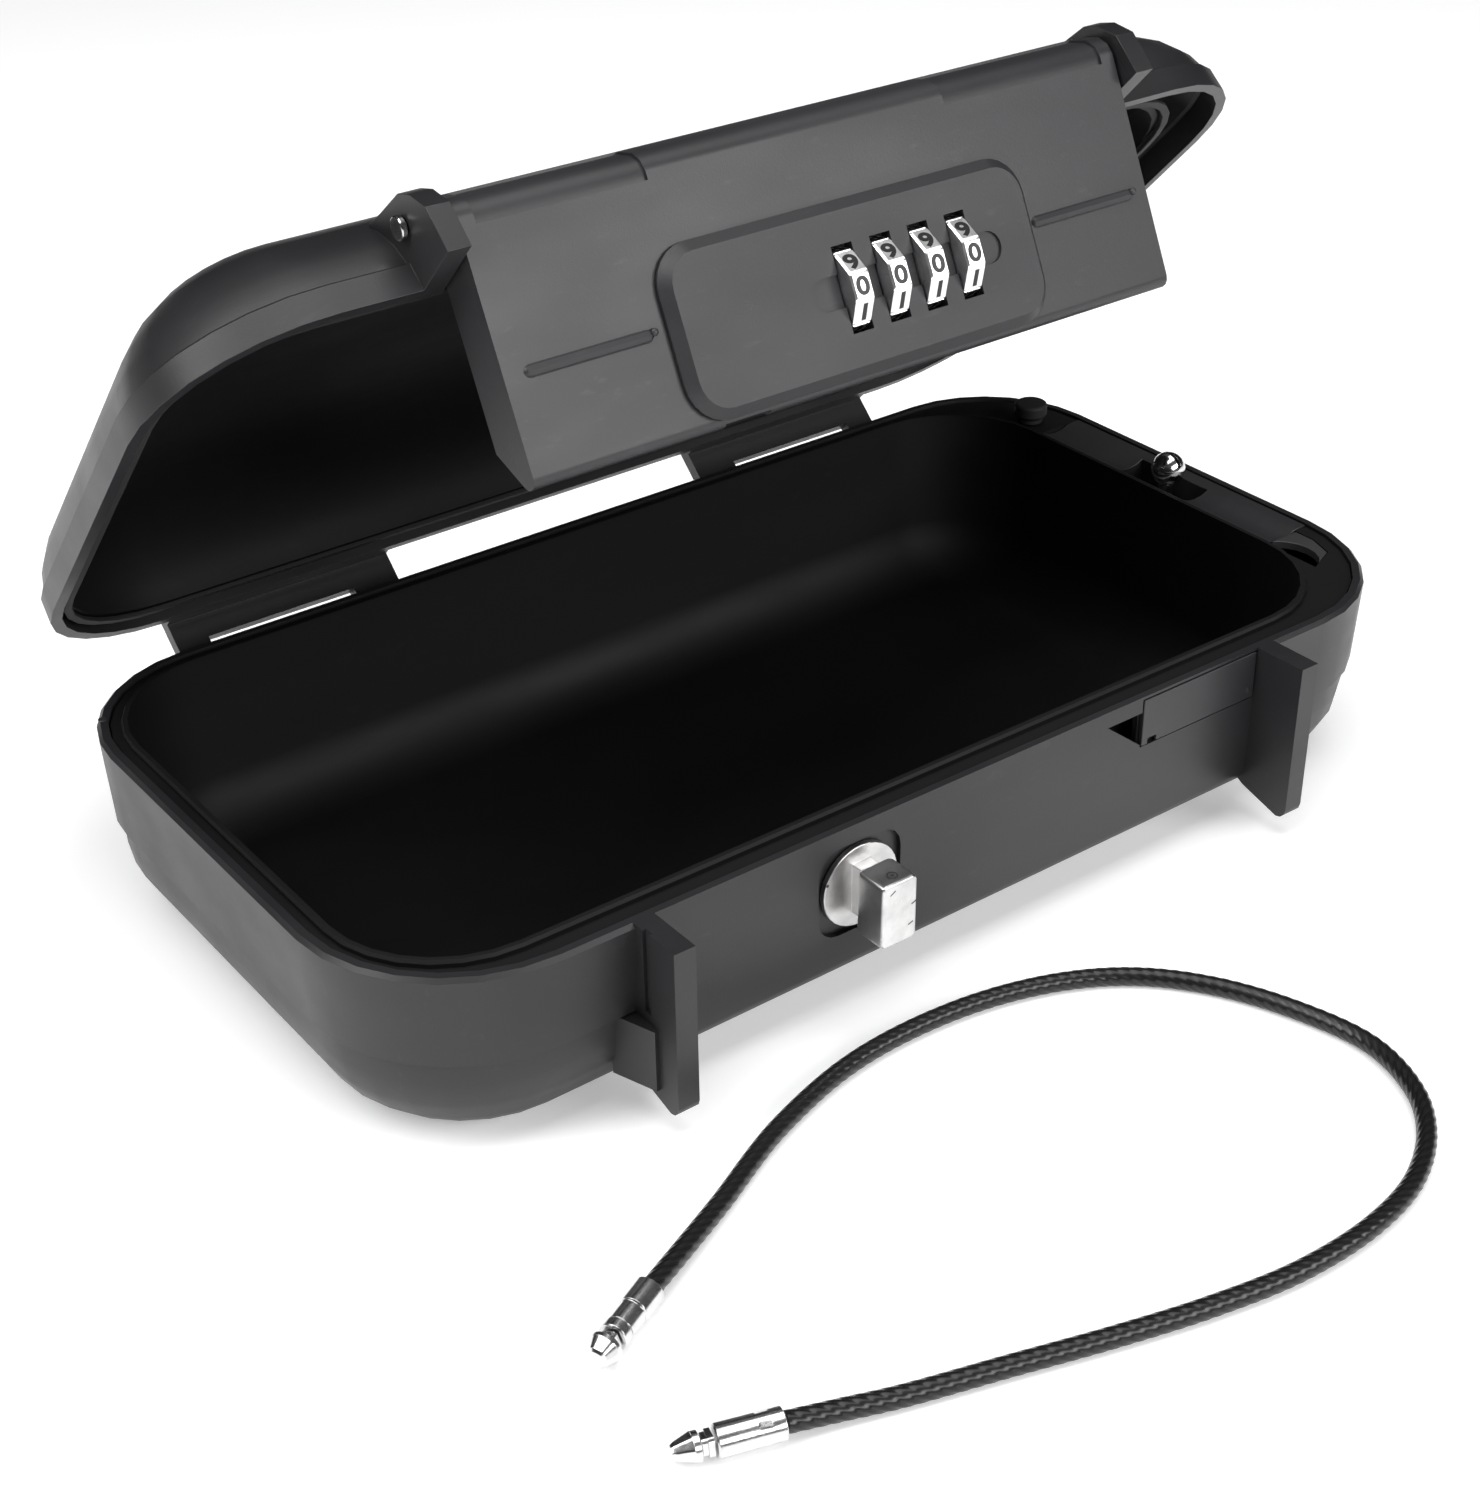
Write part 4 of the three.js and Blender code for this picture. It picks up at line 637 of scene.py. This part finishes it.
def ring_mark(shape, centre, outer, inner):
    """A flat ring on a level face, as a closed band."""
    loops = []
    for radius, rise in ((outer, -MARK_SKIN), (outer, MARK_SKIN), (inner, MARK_SKIN), (inner, -MARK_SKIN)):
        spots = [Vector(centre) + Vector((x, y, rise)) for x, y in circle(radius, RING_SIDES)]
        loops.append([shape.verts.new(spot * MM) for spot in spots])
    for near, far in zip(loops, loops[1:] + loops[:1]):
        for k in range(RING_SIDES):
            n = (k + 1) % RING_SIDES
            shape.faces.new((near[k], near[n], far[n], far[k]))


material, shade, wire, surface = new_material("mark_ink")
surface.inputs["Roughness"].default_value = 0.55
patches = shade.new("ShaderNodeTexNoise")
patches.inputs["Scale"].default_value = 2500
ink_place = shade.new("ShaderNodeTexCoord")
ink_tone = shade.new("ShaderNodeValToRGB")
ink_tone.color_ramp.elements[0].color = (0.004, 0.004, 0.004, 1)
ink_tone.color_ramp.elements[1].color = (0.03, 0.03, 0.03, 1)
wire.new(ink_place.outputs["Object"], patches.inputs["Vector"])
wire.new(patches.outputs["Fac"], ink_tone.inputs["Fac"])
wire.new(ink_tone.outputs["Color"], surface.inputs["Base Color"])
DISC_FACE = -69.6
DOT_CENTRE = (-38.2, 31.1)
DOT_RADIUS = 0.35
DOT_SIDES = 16
RING_CENTRE = (-30, -78.5, 35)
TICK_HALF = 0.6
TICK_WIDTH = 0.3
tip_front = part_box("lock_stud")[0].y / MM - MARK_SKIN
marks = bmesh.new()
mark_prism(marks, [
    (DOT_CENTRE[0] + x, DISC_FACE - MARK_SKIN, DOT_CENTRE[1] + z)
    for x, z in circle(DOT_RADIUS, DOT_SIDES)
], (0, 2 * MARK_SKIN, 0))
for x, z, rise in ((-31.9, 33.1, 0.5), (-26.7, 29.0, 0.35), (-27.4, 24.5, 0.35)):
    mark_prism(marks, [
        (x - TICK_HALF, tip_front, z - rise),
        (x + TICK_HALF, tip_front, z + rise - TICK_WIDTH),
        (x + TICK_HALF, tip_front, z + rise),
        (x - TICK_HALF, tip_front, z - rise + TICK_WIDTH),
    ], (0, 2 * MARK_SKIN, 0))
ring_mark(marks, RING_CENTRE, 1.15, 0.8)
ring_mark(marks, RING_CENTRE, 0.35, 0.1)
bmesh.ops.recalc_face_normals(marks, faces=marks.faces)
stud_marks = link_mesh("stud_marks", marks)
stud_marks.data.materials.append(material)
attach(stud_marks, "base")

# Cable post
# A turned and polished steel post with a slotted ball head, in the pocket of the cable bay.
# It is taken to hold an end of the cable, which the photo doesn't show.
polished_steel = steel("polished_steel", (0.72, 0.72, 0.72), 0.14, (900, 900, 5000), 0.003)
dress("cable_post", polished_steel, 0.1)

# Hinge pins
# Two plain steel pins at the back, through the base's lugs and the slotted arms of the lid.
# The photo doesn't show them, so they are a guess.
for pin in ("hinge_pin_left", "hinge_pin_right"):
    dress(pin, plain_steel, 0.2)

# Lid
# The lid's outer shell is a black moulding with the horns, the recess for the flap and the slotted arms.
# A matt liner, its black darkened as painted shade, sits in it, and a rubber seal runs round the liner's
# edge.
lid_plastic = moulding("lid_plastic", (0.016, 0.016, 0.0175), 0.4, 0.35)
dress("lid_shell", lid_plastic, 0.4)
dress("lid_inner", inner_plastic_painted_shade, 0.25)
dress("lid_seal", moulding("seal_rubber", (0.008, 0.008, 0.008), 0.7, 0.1), 0.2)

# Flap
# A moulded cover hangs on a steel pin between the horns, with a raised lock panel let into its front.
# A plate, held by four screws, closes its back.
SCREW_COUNT = 4
flap_plastic = moulding("flap_plastic", (0.024, 0.024, 0.026), 0.42, 0.4)
panel_plastic = moulding("panel_plastic", (0.022, 0.022, 0.024), 0.46, 0.45)
dress("flap_pin", polished_steel, 0.25)
dress("flap_cover", flap_plastic, 0.35)
dress("lock_panel", panel_plastic, 0.2)
# The back plate has the liner's black, with the same painted shade.
dress("back_plate", inner_plastic_painted_shade, 0.2)
for n in range(SCREW_COUNT):
    dress(f"back_screw_{n + 1}", plain_steel, 0.12)

# Small domes
# Ejector buttons at the right end of each rib, a rivet head on the outlet cover, a gate mark on the left rim.
# One tree of nodes puts a low dome on each point of a mesh, facing the way that it is given.
FLAP_LEAN = math.radians(25.6)
flap_front = Vector((0, -math.cos(FLAP_LEAN), math.sin(FLAP_LEAN)))
flap_up = Vector((0, math.sin(FLAP_LEAN), math.cos(FLAP_LEAN)))
pin_low, pin_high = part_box("flap_pin")
flap_pin_place = Vector((0, (pin_low.y + pin_high.y) / 2, (pin_low.z + pin_high.z) / 2))


def dome_tree():
    """The tree of nodes: a ball, squashed to its height, on every point."""
    group = bpy.data.node_groups.new("domes_on_points", "GeometryNodeTree")
    sockets = group.interface
    for label, kind in (
        ("Geometry", "Geometry"), ("Facing", "Vector"), ("Radius", "Float"), ("Height", "Float"),
        ("Finish", "Material"),
    ):
        sockets.new_socket(label, in_out="INPUT", socket_type=f"NodeSocket{kind}")
    sockets.new_socket("Geometry", in_out="OUTPUT", socket_type="NodeSocketGeometry")
    node = group.nodes.new
    link = group.links.new
    given, result = node("NodeGroupInput"), node("NodeGroupOutput")
    ball = node("GeometryNodeMeshUVSphere")
    squash = node("GeometryNodeTransform")
    size = node("ShaderNodeCombineXYZ")
    ball.inputs["Segments"].default_value = 28
    ball.inputs["Rings"].default_value = 14
    smooth = node("GeometryNodeSetShadeSmooth")
    spread = node("GeometryNodeInstanceOnPoints")
    turn = node("FunctionNodeAlignRotationToVector")
    real = node("GeometryNodeRealizeInstances")
    finish = node("GeometryNodeSetMaterial")
    link(given.outputs["Radius"], size.inputs["X"])
    link(given.outputs["Radius"], size.inputs["Y"])
    link(given.outputs["Height"], size.inputs["Z"])
    link(ball.outputs["Mesh"], squash.inputs["Geometry"])
    link(size.outputs["Vector"], squash.inputs["Scale"])
    link(squash.outputs["Geometry"], smooth.inputs["Geometry"])
    link(given.outputs["Geometry"], spread.inputs["Points"])
    link(smooth.outputs["Geometry"], spread.inputs["Instance"])
    link(given.outputs["Facing"], turn.inputs["Vector"])
    link(turn.outputs["Rotation"], spread.inputs["Rotation"])
    link(spread.outputs["Instances"], real.inputs["Geometry"])
    link(real.outputs["Geometry"], finish.inputs["Geometry"])
    link(given.outputs["Finish"], finish.inputs["Material"])
    link(finish.outputs["Geometry"], result.inputs["Geometry"])
    return group


dome_group = dome_tree()


def domes(name, places, facing, radius, height, material, body):
    """Low domes on points, all facing one way; radius and height are in mm."""
    shape = bmesh.new()
    for place in places:
        shape.verts.new(place)
    points = link_mesh(f"{name}_points", shape)
    tree = points.modifiers.new("domes", "NODES")
    tree.node_group = dome_group
    values = {"Facing": facing, "Radius": radius * MM, "Height": height * MM, "Finish": material}
    for item in dome_group.interface.items_tree:
        if item.in_out == "INPUT" and item.name in values:
            tree[item.identifier] = values[item.name]
    bpy.context.view_layer.update()
    mesh = bpy.data.meshes.new_from_object(points.evaluated_get(bpy.context.evaluated_depsgraph_get()))
    points.modifiers.remove(tree)
    bpy.data.objects.remove(points)
    made = bpy.data.objects.new(name, mesh)
    bpy.context.collection.objects.link(made)
    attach(made, body)


RIB_END_FORWARD = 9.05
RIB_END_DROP = 28.6
RIB_ENDS_X = (-45.1, 72.4)
RIVET_PLACE = Vector((75.3, -69.4, 32.6))
GATE_PLACE = Vector((-126.3, 53.7, 42))
rib_line = RIB_END_FORWARD * flap_front - RIB_END_DROP * flap_up
rib_ends = [flap_pin_place + MM * (rib_line + Vector((x, 0, 0))) for x in RIB_ENDS_X]
domes("rib_buttons", rib_ends, flap_front, 0.75, 0.6, flap_plastic, "flap")
domes("cover_rivet", [RIVET_PLACE * MM], (0, -1, 0), 0.7, 0.35, pad_rubber, "base")
domes("gate_mark", [GATE_PLACE * MM], (0, 0, 1), 0.95, 0.2, bay_plastic, "base")


# Lock works
# A bent steel frame, leaf springs, the dials' spindle and the sliding bolt, all of plain steel.
# They sit between the lock panel and the back plate, and are mostly hidden.
for works in ("lock_frame", "click_springs", "dial_spindle", "lock_bolt"):
    dress(works, plain_steel, 0.1)

# Dials
# Four ten-sided steel wheels, each facet stamped with a black figure. Nought faces the front.
# The figures are widened characters that lie partly in the facets.
DIAL_COUNT = 4
DIAL_RADIUS = 8.41
DIAL_FACETS = 10
FIGURE_HEIGHT = 3.3 * MM
FIGURE_BREADTH = 1.3
FIGURE_WEIGHT = 0.17 * MM
FIGURE_DEPTH = 0.03 * MM
FIGURE_RISE = 0.01 * MM
FIGURE_MERGE = 0.001 * MM
CAPITAL_SHARE = 0.7
dial_steel = steel("dial_steel", (0.93, 0.93, 0.93), 0.3, (3000, 500, 500))
figure_paint, shade, wire, surface = new_material("figure_paint")
surface.inputs["Roughness"].default_value = 0.4
specks = shade.new("ShaderNodeTexNoise")
specks.inputs["Scale"].default_value = 3000
place = shade.new("ShaderNodeTexCoord")
fade = shade.new("ShaderNodeValToRGB")
fade.color_ramp.elements[0].color = (0.002, 0.002, 0.002, 1)
fade.color_ramp.elements[1].color = (0.012, 0.012, 0.012, 1)
wire.new(place.outputs["Object"], specks.inputs["Vector"])
wire.new(specks.outputs["Fac"], fade.inputs["Fac"])
wire.new(fade.outputs["Color"], surface.inputs["Base Color"])


def dial_figures(dial, number):
    """The ten figures on one dial, as one mesh on its facets."""
    low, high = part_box(dial)
    centre = (low + high) / 2
    apothem = DIAL_RADIUS * MM * math.cos(math.pi / DIAL_FACETS)
    whole = bmesh.new()
    for figure in range(DIAL_FACETS):
        turn = -math.tau * figure / DIAL_FACETS
        outward = math.cos(turn) * flap_front + math.sin(turn) * flap_up
        upward = math.cos(turn) * flap_up - math.sin(turn) * flap_front
        text = bpy.data.curves.new("figure", "FONT")
        text.body = str(figure)
        text.size = FIGURE_HEIGHT / CAPITAL_SHARE
        text.align_x = "CENTER"
        text.offset = FIGURE_WEIGHT
        text.extrude = FIGURE_DEPTH
        text.resolution_u = 6
        shown = bpy.data.objects.new("figure", text)
        bpy.context.collection.objects.link(shown)
        bpy.context.view_layer.update()
        mesh = bpy.data.meshes.new_from_object(shown.evaluated_get(bpy.context.evaluated_depsgraph_get()))
        bpy.data.objects.remove(shown)
        lift = Matrix.Translation(Vector((0, -FIGURE_HEIGHT / 2, 0)))
        spot = centre + outward * (apothem + FIGURE_RISE)
        turned = Matrix((Vector((FIGURE_BREADTH, 0, 0)), upward, outward)).transposed().to_4x4()
        mesh.transform(Matrix.Translation(spot) @ turned @ lift)
        whole.from_mesh(mesh)
        bpy.data.meshes.remove(mesh)
    bmesh.ops.remove_doubles(whole, verts=whole.verts, dist=FIGURE_MERGE)
    bmesh.ops.recalc_face_normals(whole, faces=whole.faces)
    figures = link_mesh(f"dial_figures_{number}", whole)
    figures.data.materials.append(figure_paint)
    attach(figures, f"dial_{number}_body")


for n in range(1, DIAL_COUNT + 1):
    dress(f"dial_{n}", dial_steel, 0.12)
    dial_figures(f"dial_{n}", n)
